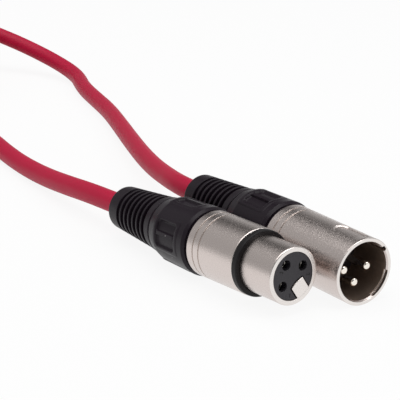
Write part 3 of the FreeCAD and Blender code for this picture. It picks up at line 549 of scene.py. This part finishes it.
# Painted shade: near-black digits stand in for the shading of the numbers' moulded relief.
finish("number_painted_shade", (0.003, 0.003, 0.003), (0.006, 0.006, 0.006), (0.6, 0.7), 4000, 300, 0.1)
finish("chuck_plastic", (0.50, 0.49, 0.46), (0.60, 0.59, 0.56), (0.4, 0.5), 2500, 200, 0.2)
finish("jacket", (0.385, 0.006, 0.035), (0.515, 0.012, 0.054), (0.42, 0.55), 2400, 90, 0.08,
       Specular_IOR_Level=0.18)
finish("shield_core", (0.48, 0.27, 0.15), (0.62, 0.36, 0.20), (0.3, 0.45), 3500, 800, 0.5, metallic=1.0)
finish("hot_core", (0.50, 0.02, 0.02), (0.62, 0.04, 0.03), (0.4, 0.5), 2500, 300, 0.2)
finish("cold_core", (0.62, 0.62, 0.60), (0.74, 0.74, 0.71), (0.4, 0.5), 2500, 300, 0.2)
finish("strap", (0.012, 0.012, 0.013), (0.035, 0.034, 0.036), (0.75, 0.9), 2600, 900, 0.9)
print("finishes:", ", ".join(FINISHES))


def finished(piece, slot, *replaced, body="cable"):
    """Give a piece its slot's finish, and say which body it rides on and which solids it stands for."""
    piece.data.materials.clear()
    piece.data.materials.append(FINISHES[slot])
    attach(piece, body)
    if replaced:
        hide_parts(*replaced)
    return piece


finished(cable, "jacket", "cable_female_stretch", "cable_coil", "cable_male_stretch")

# %% [markdown]
# The strap that holds the coil is a flat band laid round all its turns. Its path is a rounded rectangle in
# the plane through the coil's middle, and a flat section with round edges is carried along it.

# %% Strap
TIE_ANGLE = 200.0
TIE_WIDTH = 12.0
TIE_THICKNESS = 0.8
TIE_SIDE_GAP = 1.2
TIE_GAP = 0.23


def rounded_rectangle(half_wide, half_high, corner, steps):
    """A closed line and its outward directions: each corner's spokes turn a quarter, and the sides are
    the gaps between the corners."""
    quarter = np.radians(np.linspace(0, 90, steps))
    angle = np.concatenate([quarter + math.radians(90) * number for number in range(4)])
    out = np.column_stack([np.cos(angle), np.sin(angle)])
    signs = np.repeat(np.array([(1, 1), (-1, 1), (-1, -1), (1, -1)]), steps, axis=0)
    middle = signs * np.array([half_wide - corner, half_high - corner])
    return middle + out * corner, out


def closed_grid(points):
    """The faces of a grid of points whose rows and columns both close on themselves."""
    index = np.arange(points.shape[0] * points.shape[1]).reshape(points.shape[:2])
    ahead = np.roll(index, -1, axis=0)
    return np.stack([index, np.roll(index, -1, axis=1), np.roll(ahead, -1, axis=1), ahead], -1).reshape(-1, 4)


def strap():
    """The band's points: path + outward x thickness + across x width, for each point of its section."""
    inner = COIL_RADIUS - COIL_PITCH * coil_turn / COIL_LAYERS / 360
    near = inner - CABLE_RADIUS - TIE_SIDE_GAP
    far = COIL_RADIUS + CABLE_RADIUS + TIE_SIDE_GAP
    low = COIL_CENTRE.z - CABLE_RADIUS - TIE_GAP
    high = COIL_CENTRE.z + COIL_PITCH * (COIL_LAYERS - 1) + CABLE_RADIUS + TIE_GAP
    path, out = rounded_rectangle((far - near) / 2, (high - low) / 2, CABLE_RADIUS, 12)
    section, _ = rounded_rectangle(TIE_WIDTH / 2, TIE_THICKNESS / 2, TIE_THICKNESS * 0.45, 4)
    place = path[:, None] + out[:, None] * (section[None, :, 1:] + TIE_THICKNESS / 2)
    points = np.stack([place[..., 0] + (near + far) / 2,
                       np.broadcast_to(section[None, :, 0], place.shape[:2]),
                       place[..., 1] + (low + high) / 2], -1)
    centre = Matrix.Translation((COIL_CENTRE.x, COIL_CENTRE.y, 0))
    spot = centre @ Matrix.Rotation(math.radians(TIE_ANGLE), 4, "Z")
    return piece_from("coil_strap", on_table(points, spot), closed_grid(points))


coil_strap = finished(strap(), "strap", "coil_tie")

# %% [markdown]
# A shell is a die-cast tube, blasted and plated with satin nickel. The female one has a thin nose that
# enters a male shell, and two windows on the side of its key for the latch. Both have two fine grooves and
# a narrower neck at the rear.

# %% Female shell
BODY_RADIUS = 9.45
NOSE_REAR = 14.3
NOSE_BORE_REAR = 15.8
GROOVE_SETBACKS = (5.3, 2.7)
GROOVE_HALF = 0.25
GROOVE_FLOOR = 9.05
NECK_LENGTH = 0.5
NECK_RADIUS = 8.6
NECK_MIDDLE = 8.42
HOOK_WINDOW = (5.6, 9.6, 13.9)
BUTTON_WINDOW = (15.1, 22.3, 20.0)
OUTSIDE_ROLLS = (0.0, 13.9, 20.0, 40.0, 180.0)
INSIDE_ROLLS = (0.0, 16.9, 23.6, 40.0, 180.0)


def groove(centre):
    """The corners of one of a shell's fine grooves."""
    front, rear = centre - GROOVE_HALF, centre + GROOVE_HALF
    return [(front, BODY_RADIUS, 0.05), (front, GROOVE_FLOOR, 0.05),
            (rear, GROOVE_FLOOR, 0.05), (rear, BODY_RADIUS, 0.05)]


def shell_rear(rear):
    """The outer corners of a shell's rear end: two grooves, the end of the body and the neck."""
    grooves = [corner for setback in GROOVE_SETBACKS for corner in groove(rear - setback)]
    return grooves + [(rear, BODY_RADIUS, 0.15), (rear, NECK_RADIUS, 0.05),
                      (rear + NECK_LENGTH, NECK_RADIUS, 0.1), (rear + NECK_LENGTH, NECK_MIDDLE)]


def female_shell():
    """A wall with two windows, each given as (front, rear, half its rolls), where the cells are left out.
    Their sides are parallel, so an edge is at a larger roll inside, where the radius is smaller."""
    end = FEMALE_REAR + NECK_LENGTH
    outer = rounded([(0, 7.2), (0, 7.9, 0.35), (NOSE_REAR, 7.9, 0.05), (NOSE_REAR, 9.35, 0.3),
                     *shell_rear(FEMALE_REAR)])
    inner = rounded([(0, 7.2), (0, 6.55, 0.12), (NOSE_BORE_REAR, 6.55, 0.1), (NOSE_BORE_REAR, 8.0, 0.1),
                     (end, 8.0, 0.1), (end, NECK_MIDDLE)])
    windows = (HOOK_WINDOW, BUTTON_WINDOW)
    depths = stations(outer, inner, marks=[edge for window in windows for edge in window[:2]])
    sides = [side * half for front, rear, half in windows for side in (-1, 1)]
    rolls = np.unique(np.concatenate([EVEN_ROLLS, sides]))
    mid_depth = (depths[:-1] + depths[1:]) / 2
    mid_roll = np.abs(roll_from(rolls + np.diff(rolls, append=180.0) / 2, 0))
    keep = np.ones((len(rolls), len(mid_depth)), bool)
    for front, rear, half in windows:
        keep &= ~((mid_roll < half)[:, None] & ((mid_depth > front) & (mid_depth < rear))[None, :])
    inner_rolls = np.sign(rolls) * np.interp(np.abs(rolls), OUTSIDE_ROLLS, INSIDE_ROLLS)
    points, faces = wall(depths, rolls, radius_at(outer, depths), radius_at(inner, depths), keep, inner_rolls)
    return piece_from("female_shell_skin", on_table(points, FEMALE), faces)


finished(female_shell(), "nickel_shell", "female_shell")

# %% [markdown]
# The key in the nose is a block that grows from the bore, flush with the rim. It is a prism whose inner side
# bulges as an arc, and a Bevel modifier rounds its edges. The hinge ribs for the latch are two more.

# %% Key and hinge ribs
EDGE_STEPS = 3
EDGE_ANGLE = math.radians(32)


def round_edges(piece, width):
    """Round a piece's sharp edges with a Bevel modifier, in millimetres."""
    bevel = piece.modifiers.new("edges", "BEVEL")
    bevel.width = width * MM
    bevel.segments = EDGE_STEPS
    bevel.limit_method = "ANGLE"
    bevel.angle_limit = EDGE_ANGLE
    bevel.harden_normals = True
    return piece


def prism(name, outline, depths, edge):
    """A piece of the female connector: one (y, z) outline at two depths, and a face at each."""
    count = len(outline)
    points = np.concatenate([np.column_stack([np.full(count, depth), outline]) for depth in depths])
    index = np.arange(count)
    ahead = np.roll(index, -1)
    sides = np.column_stack([index, ahead, ahead + count, index + count]).tolist()
    ends = [index[::-1].tolist(), (index + count).tolist()]
    mesh = bpy.data.meshes.new(name)
    mesh.from_pydata(on_table(points, FEMALE).tolist(), [], sides + ends)
    rework(mesh, turn_outwards)
    print(name, count, "corners")
    return round_edges(in_scene(name, mesh), edge)


KEY_HALF = 2.2
KEY_DEPTHS = (0.0, 2.6)
KEY_BULGE_CENTRE = 8.95
KEY_BULGE_RADIUS = 6.75
KEY_FOOT_RADIUS = 6.7
RIB_INNER = 2.4
RIB_OUTER = 3.4
RIB_LOW = 4.2
RIB_INNER_HIGH = 7.7
RIB_OUTER_HIGH = 7.4
RIB_DEPTHS = (24.5, 28.5)

across_key = np.linspace(-KEY_HALF, KEY_HALF, 11)
bulge = KEY_BULGE_CENTRE - np.sqrt(KEY_BULGE_RADIUS ** 2 - across_key ** 2)
foot = np.sqrt(KEY_FOOT_RADIUS ** 2 - across_key ** 2)
key_outline = np.concatenate([
    np.column_stack([across_key, bulge]), np.column_stack([across_key, foot])[::-1]])
finished(prism("female_key", key_outline, KEY_DEPTHS, 0.12), "nickel_shell")
for rib_name, side in (("left", 1), ("right", -1)):
    rib = [(side * RIB_INNER, RIB_LOW), (side * RIB_OUTER, RIB_LOW),
           (side * RIB_OUTER, RIB_OUTER_HIGH), (side * RIB_INNER, RIB_INNER_HIGH)]
    finished(prism("hinge_rib_" + rib_name, rib, RIB_DEPTHS, 0.15), "nickel_shell")

# %% [markdown]
# The male shell is a plain tube. Its mouth is bevelled inside and has a keyway and a step, a pocket inside
# takes the female latch's hook, and a blank panel with round corners and a sloping front end is sunk in
# its top.

# %% Male shell
MOUTH_BORE = 8.05
RELIEF_RADIUS = 8.25
WELL_REAR = 13.5
LEAST_WALL = 0.05
PANEL_ROLL = -2.0
PANEL_DEPTH = 6.0
PANEL_HALF_ACROSS = 2.38
PANEL_HALF_ALONG = 5.7
PANEL_CORNER = 2.1
PANEL_SOFT = 0.12
PANEL_RADIUS = 9.4
PANEL_SLOPE = ((0.2, 2.9), (9.45, 9.05))
PANEL_DEPTH_LINES = np.arange(0.3, 12.4, 0.15)
PANEL_ROLL_LINES = np.arange(-19.5, 16.0, 0.75)
OPEN_FRONT = -1.0
# Each cut in the bore: its radius, the roll of its middle and half its rolls, how soft its sides are, its
# front, its rear and how soft they are.
KEYWAY = (8.9, 48.5, 4.7, 0.6, OPEN_FRONT, 9.0, 0.1)
STEP = (8.45, 124.0, 28.0, 0.6, OPEN_FRONT, 1.1, 0.08)
POCKET = (8.65, 0.0, 14.0, 0.8, 3.2, 7.0, 0.1)


def male_shell():
    """A wall whose outer radius falls to the panel's floor inside a rounded rectangle, and whose inner
    radius grows to each cut's own where that cut is."""
    end = MALE_REAR + NECK_LENGTH
    cuts = (KEYWAY, STEP, POCKET)
    outer_line = rounded([(0, 9.0), (0, 9.35, 0.3), *shell_rear(MALE_REAR)])
    inner_line = rounded([
        (0, 9.0), (0, 8.4, 0.12), (0.5, MOUTH_BORE, 0.1), (3.1, MOUTH_BORE, 0.05),
        (3.1, RELIEF_RADIUS, 0.05), (WELL_REAR, MOUTH_BORE), (WELL_REAR, RELIEF_RADIUS),
        (end, RELIEF_RADIUS, 0.1), (end, NECK_MIDDLE)])
    rears = stops([cut[5] for cut in cuts], 0.1, 1.0, 0.6, 10.0)
    depths = stations(outer_line, inner_line, marks=np.concatenate([PANEL_DEPTH_LINES, rears]))
    sides = [middle + side * half for _, middle, half, *_ in cuts for side in (-1, 1)]
    rolls = stops(sides, 0.8, 2.0, -180.0, 180.0)[:-1]
    rolls = np.unique(np.concatenate([rolls, PANEL_ROLL_LINES]))
    roll, depth = rolls[:, None], depths[None, :]
    plain = radius_at(outer_line, depths)
    floor = np.interp(depths, *PANEL_SLOPE)
    across = np.radians(roll_from(roll, PANEL_ROLL)) * PANEL_RADIUS
    panel = patch(across, depth - PANEL_DEPTH, PANEL_HALF_ACROSS, PANEL_HALF_ALONG, PANEL_CORNER, PANEL_SOFT)
    outer = plain + (np.minimum(floor, plain) - plain) * panel
    inner = plain_bore = radius_at(inner_line, depths)
    for radius, middle, half, side_soft, front, rear, end_soft in cuts:
        mask = 1 - ramp(np.abs(roll_from(roll, middle)), half, side_soft)
        mask = mask * ramp(depth, front, end_soft) * (1 - ramp(depth, rear, end_soft))
        inner = np.maximum(inner, plain_bore + (radius - plain_bore) * mask)
    points, faces = wall(depths, rolls, outer, np.minimum(inner, outer - LEAST_WALL))
    return piece_from("male_shell_skin", on_table(points, MALE), faces)


finished(male_shell(), "nickel_shell", "male_shell")

# %% [markdown]
# A black rubber ring sits on the root of the nose and seals the two shells when they are joined.

# %% Rubber ring
ring_outer = rounded([(12.4, 8.3), (12.4, 9.2, 0.8), (14.3, 9.2, 0.12), (14.3, 8.3)], steps=9)
ring_inner = rounded([(12.4, 8.3), (12.4, 7.92, 0.1), (14.3, 7.92, 0.1), (14.3, 8.3)])
finished(turned("rubber_ring", FEMALE, ring_outer, ring_inner), "rubber_ring", "female_ring")

# %% [markdown]
# The insulator is a moulded disc with a notch for the key and three holes. They cut across its round edge,
# so it is a merged copy of its solid with every edge rounded, and the numbers are raised letters on it.

# %% Insulator and latch
def copied(name, node, edge):
    """A piece from a solid's loose triangles: merged, its flats joined up, its edges rounded."""
    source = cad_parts[node].data
    points = np.empty(len(source.vertices) * 3)
    source.vertices.foreach_get("co", points)
    corners = np.empty(len(source.polygons) * 3, int)
    source.polygons.foreach_get("vertices", corners)
    piece = piece_from(name, points.reshape(-1, 3), corners.reshape(-1, 3))
    rework(piece.data, join_flats)
    return round_edges(piece, edge)


finished(copied("female_insulator", "female_insert", 0.1), "insulator", "female_insert")
finished(copied("latch_lever", "female_latch", 0.2), "steel", "female_latch", body="latch")

# %% [markdown]
# Each number is a letter turned into a mesh and set on the insulator's face beside its contact. Its
# near-black colour is painted shade for the moulded relief.

# %% Numbers beside the contacts
NUMBER_HEIGHT = 1.5
NUMBER_DEPTH = 0.15
NUMBER_RAISED = 0.06


def number_on(name, digit, radius, roll):
    """A raised digit on the female insulator's face, its foot towards the middle."""
    words = bpy.data.curves.new(name, "FONT")
    words.body = digit
    words.size = NUMBER_HEIGHT
    words.extrude = NUMBER_RAISED
    words.align_x = "CENTER"
    words.align_y = "CENTER"
    stand_in = in_scene(name + "_words", words)
    bpy.context.view_layer.update()
    mesh = bpy.data.meshes.new_from_object(stand_in.evaluated_get(bpy.context.evaluated_depsgraph_get()))
    bpy.data.objects.remove(stand_in)
    mesh.name = name
    facing = Matrix(((0, 0, -1, NUMBER_DEPTH), (-1, 0, 0, 0), (0, 1, 0, radius), (0, 0, 0, 1)))
    mesh.transform(Matrix.Scale(MM, 4) @ FEMALE @ along(0, roll) @ facing)
    return in_scene(name, mesh)


for digit, radius, roll in (("3", 4.1, 148.0), ("2", 5.2, -50.0), ("1", 5.1, 44.0)):
    number = finished(number_on("female_number_" + digit, digit, radius, roll), "insulator")
    # The digits get the near-black painted shade in place of the shading of their relief.
    number.data.materials[0] = FINISHES["number_painted_shade"]

# %% [markdown]
# The contacts are machined and plated. A female one is a tube for the pin, with a solder cup behind, and a
# male one is a pin with a round end. Both are turned from a line of corners, from the axis and back to it.

# %% Contacts
CONTACTS = {"female": [("1", -4.0, 0.0), ("2", 4.0, 0.0), ("3", 0.0, -4.0)],
            "male": [("1", 4.0, 0.0), ("2", -4.0, 0.0), ("3", 0.0, -4.0)]}
CONTACT_SHAPES = {
    "female": (FEMALE,
               rounded([(2.4, 1.45), (2.4, 1.75, 0.12), (17, 1.75, 0.1), (17, 1.4, 0.1), (23.5, 1.4, 0.1),
                        (23.5, 1.15)]),
               rounded([(2.4, 1.45), (2.4, 1.225, 0.12), (14, 1.225), (14, 0.02), (20.5, 0.02), (20.5, 0.95),
                        (23.5, 0.95, 0.1), (23.5, 1.15)])),
    "male": (MALE,
             rounded([(3.2, 0.0), (3.2, 1.2, 1.19), (13.5, 1.2), (13.5, 1.4), (18, 1.4), (18, 1.6, 0.1),
                      (19, 1.6, 0.1), (19, 1.4), (23, 1.4, 0.1), (23, 1.15)], steps=11),
             rounded([(3.2, 0.0), (20, 0.0), (20, 0.95), (23, 0.95, 0.1), (23, 1.15)]))}
for kind, (place, outer, inner) in CONTACT_SHAPES.items():
    noun = "socket" if kind == "female" else "pin"
    solid = "contact" if kind == "female" else "pin"
    for digit, across, height in CONTACTS[kind]:
        spot = place @ Matrix.Translation((0, across, height))
        piece = turned(kind + "_" + noun + "_skin_" + digit, spot, outer, inner)
        finished(piece, "contact_metal", kind + "_" + solid + "_" + digit)
disc_outer = rounded([(13.5, 0.0), (13.5, 8.2, 0.1), (18, 8.2, 0.2), (18, 0.0)])
disc_inner = np.array([(13.5, 0.0), (18.0, 0.0)])
finished(turned("male_insulator", MALE, disc_outer, disc_inner), "insulator", "male_insert")

# %% [markdown]
# The boot's cone is a hard moulding that screws into the shell. It has a stepped lip, and four pads round
# it for the fingers, each with two hollows side by side. The outer radius is the cone's line, raised to the
# pad's where a pad is and lowered again in its hollows.

# %% Boot cones
PAD_ROLLS = (-90, 0, 90, 180)
PAD_TURN = 90
PAD_DEPTHS = (9.5, 20.6, 21.8)
PAD_RADII = (9.9, 9.64, 9.38)
PAD_MIDDLE = 15.65
PAD_HALF_ALONG = 6.15
PAD_HALF_ROLL = 30
PAD_RADIUS = 9.6
PAD_EDGE = (0.8, 0.15)
GRIP_DEPTHS = (11.0, 19.6)
GRIP_FLOOR = (9.0, 8.92)
GRIP_MIDDLE = 15.3
GRIP_HALF_ALONG = 4.3
GRIP_HALF_ROLL = 23
GRIP_EDGE = (0.9, 0.28)
RIDGE_TOP = (9.7, 9.52)
RIDGE_HALF_ALONG = 4.4
RIDGE_HALF_ROLL = 4
RIDGE_EDGE = (0.1, 0.15)


def boot_cone(name, place, thread):
    """A wall whose outer radius is the cone's, or a pad's where that is more, less the pad's hollows. The
    ridge between the two hollows is lower than the pad. Each edge is a corner's radius and its softness."""
    outer_line = rounded([
        (0, 7.42), (0, thread, 0.1), (5.4, thread), (5.4, 8.7, 0.12), (6.1, 8.7, 0.05), (6.1, 9.3, 0.12),
        (7.0, 9.9, 0.25), (20.8, 9.42, 2.5), (24.5, 8.5, 0.15), (24.5, 7.4)])
    inner_line = rounded([
        (0, 7.42), (0, 7.15, 0.1), (12.5, 7.15), (20.9, 5.4), (20.9, 6.35), (24.5, 6.35, 0.1), (24.5, 7.4)])
    depths = stations(outer_line, inner_line, marks=stops([*PAD_DEPTHS, *GRIP_DEPTHS], 0.15, 0.3, 7.6, 24.3))
    halves = (PAD_HALF_ROLL, GRIP_HALF_ROLL, RIDGE_HALF_ROLL)
    sides = [middle + side * half for middle in PAD_ROLLS for half in halves for side in (-1, 1)]
    rolls = stops([roll_from(side, 0) for side in sides], 0.9, 1.5, -180.0, 180.0)[:-1]
    roll, depth = rolls[:, None], depths[None, :]
    cone = radius_at(outer_line, depths)
    across = np.radians((roll + PAD_TURN / 2) % PAD_TURN - PAD_TURN / 2) * PAD_RADIUS
    half_pad, half_grip, half_ridge = (math.radians(half) * PAD_RADIUS for half in halves)
    pad = patch(across, depth - PAD_MIDDLE, half_pad, PAD_HALF_ALONG, *PAD_EDGE)
    grip = patch(across, depth - GRIP_MIDDLE, half_grip, GRIP_HALF_ALONG, *GRIP_EDGE)
    ridge = patch(across, depth - GRIP_MIDDLE, half_ridge, RIDGE_HALF_ALONG, *RIDGE_EDGE)
    raised = cone + np.maximum(np.interp(depths, PAD_DEPTHS, PAD_RADII) - cone, 0) * pad
    sunk = raised + (np.interp(depths, GRIP_DEPTHS, GRIP_FLOOR) - raised) * grip
    outer = sunk + (np.interp(depths, GRIP_DEPTHS, RIDGE_TOP) - sunk) * ridge * grip
    points, faces = wall(depths, rolls, outer, radius_at(inner_line, depths))
    return piece_from(name, on_table(points, place), faces)


FEMALE_PAD_ROLL = -47.0
MALE_PAD_ROLL = -17.0
female_cone = boot_cone("female_boot_cone", FEMALE_BOOT @ along(0, FEMALE_PAD_ROLL), 7.7)
male_cone = boot_cone("male_boot_cone", MALE_BOOT @ along(0, MALE_PAD_ROLL), 7.95)
finished(female_cone, "boot_plastic", "female_boot_body")
finished(male_cone, "boot_plastic", "male_boot_body")

# %% [markdown]
# Behind the cone a softer sleeve grips the jacket. Seven slits let it bend with the cable, and its end is
# well rounded.

# %% Glands
SLIT_CENTRES = np.linspace(28.6, 43.0, 7)
SLIT_HALF = 0.75
SLIT_FLOOR = 6.0
SLEEVE_DEPTHS = (27.8, GLAND_REAR)
SLEEVE_RADII = (8.03, 6.5)


def slits():
    """The corners of the slits, evenly placed on a sleeve that narrows in a straight line."""
    corners = []
    for centre in SLIT_CENTRES:
        front, rear = centre - SLIT_HALF, centre + SLIT_HALF
        before, after = np.interp([front, rear], SLEEVE_DEPTHS, SLEEVE_RADII)
        corners += [(front, before, 0.2), (front, SLIT_FLOOR, 0.15),
                    (rear, SLIT_FLOOR, 0.15), (rear, after, 0.2)]
    return corners


gland_outer = rounded([
    (21, 4.8), (21, 6.3, 0.2), (25.0, 6.3), (25.0, 8.45, 0.3), *slits(),
    (GLAND_REAR, SLEEVE_RADII[1], 1.3), (GLAND_REAR, 4.8)], steps=6)
gland_inner = rounded([(21, 4.8), (21, 3.3, 0.2), (GLAND_REAR, 3.3, 0.25), (GLAND_REAR, 4.8)])
finished(turned("female_gland", FEMALE_BOOT, gland_outer, gland_inner), "gland_plastic", "female_boot_gland")
finished(turned("male_gland", MALE_BOOT, gland_outer, gland_inner), "gland_plastic", "male_boot_gland")

# %% [markdown]
# The solids that stay as they are, inside the connectors, only need their finish.

# %% Finishes of the solids that stay
KEPT = {"female_latch_pin": "steel", "female_latch_spring": "steel"}
for kind in ("female", "male"):
    KEPT.update({kind + "_wire_1": "shield_core", kind + "_wire_2": "hot_core", kind + "_wire_3": "cold_core",
                 kind + "_cable_end": "jacket", kind + "_chuck": "chuck_plastic"})
for node_name, slot in KEPT.items():
    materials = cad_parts[node_name].data.materials
    materials.clear()
    materials.append(FINISHES[slot])
print("kept solids:", ", ".join(KEPT))

# %% [markdown]
# The cable lies on white card under a large soft light, in a room that is grey to the sides. The card is
# white to the camera and in reflections, which gives the shells their bright lower side. The room's grey,
# with a darker part behind the cable, gives their upper side its tones, and a dark place in front of the
# connectors shows in the tips of the pins.

# %% Card, room and light
CARD_HALF = 4.0
CARD_WHITE = 0.9
BEHIND = Vector((-0.7665, 0.334, 0.549))
BEHIND_ANGLES = (5, 26.5)
IN_FRONT = Vector((0.96, -0.1, 0.26))
IN_FRONT_ANGLES = (22, 38)
DARKEST = 0.02
ROOM_GREY = 0.48


def floor():
    """A white card that shows the cable's faint shadow: mostly plain white to the camera and in
    reflections, and ordinary matt white for the light that it throws back."""
    mesh = bpy.data.meshes.new("white_card")
    corners = [(-CARD_HALF, -CARD_HALF, 0), (CARD_HALF, -CARD_HALF, 0),
               (CARD_HALF, CARD_HALF, 0), (-CARD_HALF, CARD_HALF, 0)]
    mesh.from_pydata(corners, [], [(0, 1, 2, 3)])
    card = in_scene("white_card", mesh)
    material = bpy.data.materials.new("white_card")
    material.use_nodes = True
    tree = material.node_tree
    tree.nodes.clear()
    rays = tree.nodes.new("ShaderNodeLightPath").outputs
    mirrored = sum_of(tree, "MAXIMUM", rays["Is Glossy Ray"], rays["Is Transmission Ray"])
    seen = sum_of(tree, "MAXIMUM", rays["Is Camera Ray"], mirrored)
    matt = new_node(tree, "ShaderNodeBsdfDiffuse", {"Color": (0.8, 0.8, 0.8, 1)})
    plain = new_node(tree, "ShaderNodeEmission", {"Color": (1, 1, 1, 1), "Strength": 1.0})
    share = sum_of(tree, "MULTIPLY", seen, CARD_WHITE)
    mix = new_node(tree, "ShaderNodeMixShader", {0: share, 1: matt.outputs[0], 2: plain.outputs[0]})
    new_node(tree, "ShaderNodeOutputMaterial", {"Surface": mix.outputs[0]})
    mesh.materials.append(material)


def dark_spot(tree, way, middle, inner, outer, high):
    """A brightness that grows in a straight line with the angle from the middle of a dark spot."""
    near = vector_of(tree, "DOT_PRODUCT", (way, middle.normalized()), "Value")
    shade = new_node(tree, "ShaderNodeMapRange", {
        "Value": sum_of(tree, "ARCCOSINE", near, 0.0), "From Min": math.radians(inner),
        "From Max": math.radians(outer), "To Min": DARKEST, "To Max": high})
    return shade.outputs[0]


def room():
    """A world that is white to the camera, and otherwise grey with a dark spot above and behind the cable
    and another in front of the connectors."""
    world = bpy.data.worlds.new("room")
    world.use_nodes = True
    tree = world.node_tree
    tree.nodes.clear()
    way = tree.nodes.new("ShaderNodeTexCoord").outputs["Generated"]
    behind = dark_spot(tree, way, BEHIND, *BEHIND_ANGLES, ROOM_GREY)
    front = dark_spot(tree, way, IN_FRONT, *IN_FRONT_ANGLES, 1.0)
    rays = tree.nodes.new("ShaderNodeLightPath").outputs
    light = new_node(tree, "ShaderNodeMix", {
        "Factor": rays["Is Camera Ray"], "A": sum_of(tree, "MULTIPLY", behind, front), "B": 1.0},
        data_type="FLOAT")
    back = new_node(tree, "ShaderNodeBackground", {
        "Color": (1, 1, 1, 1), "Strength": light.outputs["Result"]})
    new_node(tree, "ShaderNodeOutputWorld", {"Surface": back.outputs[0]})
    bpy.context.scene.world = world


def lamp(name, place, aim, width, power):
    """A square soft light that shines from a place at a point, in metres and watts."""
    light = bpy.data.lights.new(name, "AREA")
    light.size = width
    light.energy = power
    lit = in_scene(name, light)
    lit.location = place
    lit.rotation_euler = (Vector(place) - Vector(aim)).to_track_quat("Z", "Y").to_euler()


floor()
room()
lamp("soft_light_above", place=(-0.05, -0.1, 0.95), aim=(-0.05, 0.0, 0.0), width=0.9, power=6.0)
lamp("soft_light_front", place=(0.9, 0.5, 0.9), aim=(0.0, 0.0, 0.0), width=0.6, power=5.0)
bpy.context.scene.view_settings.view_transform = "Standard"
print("lights set")
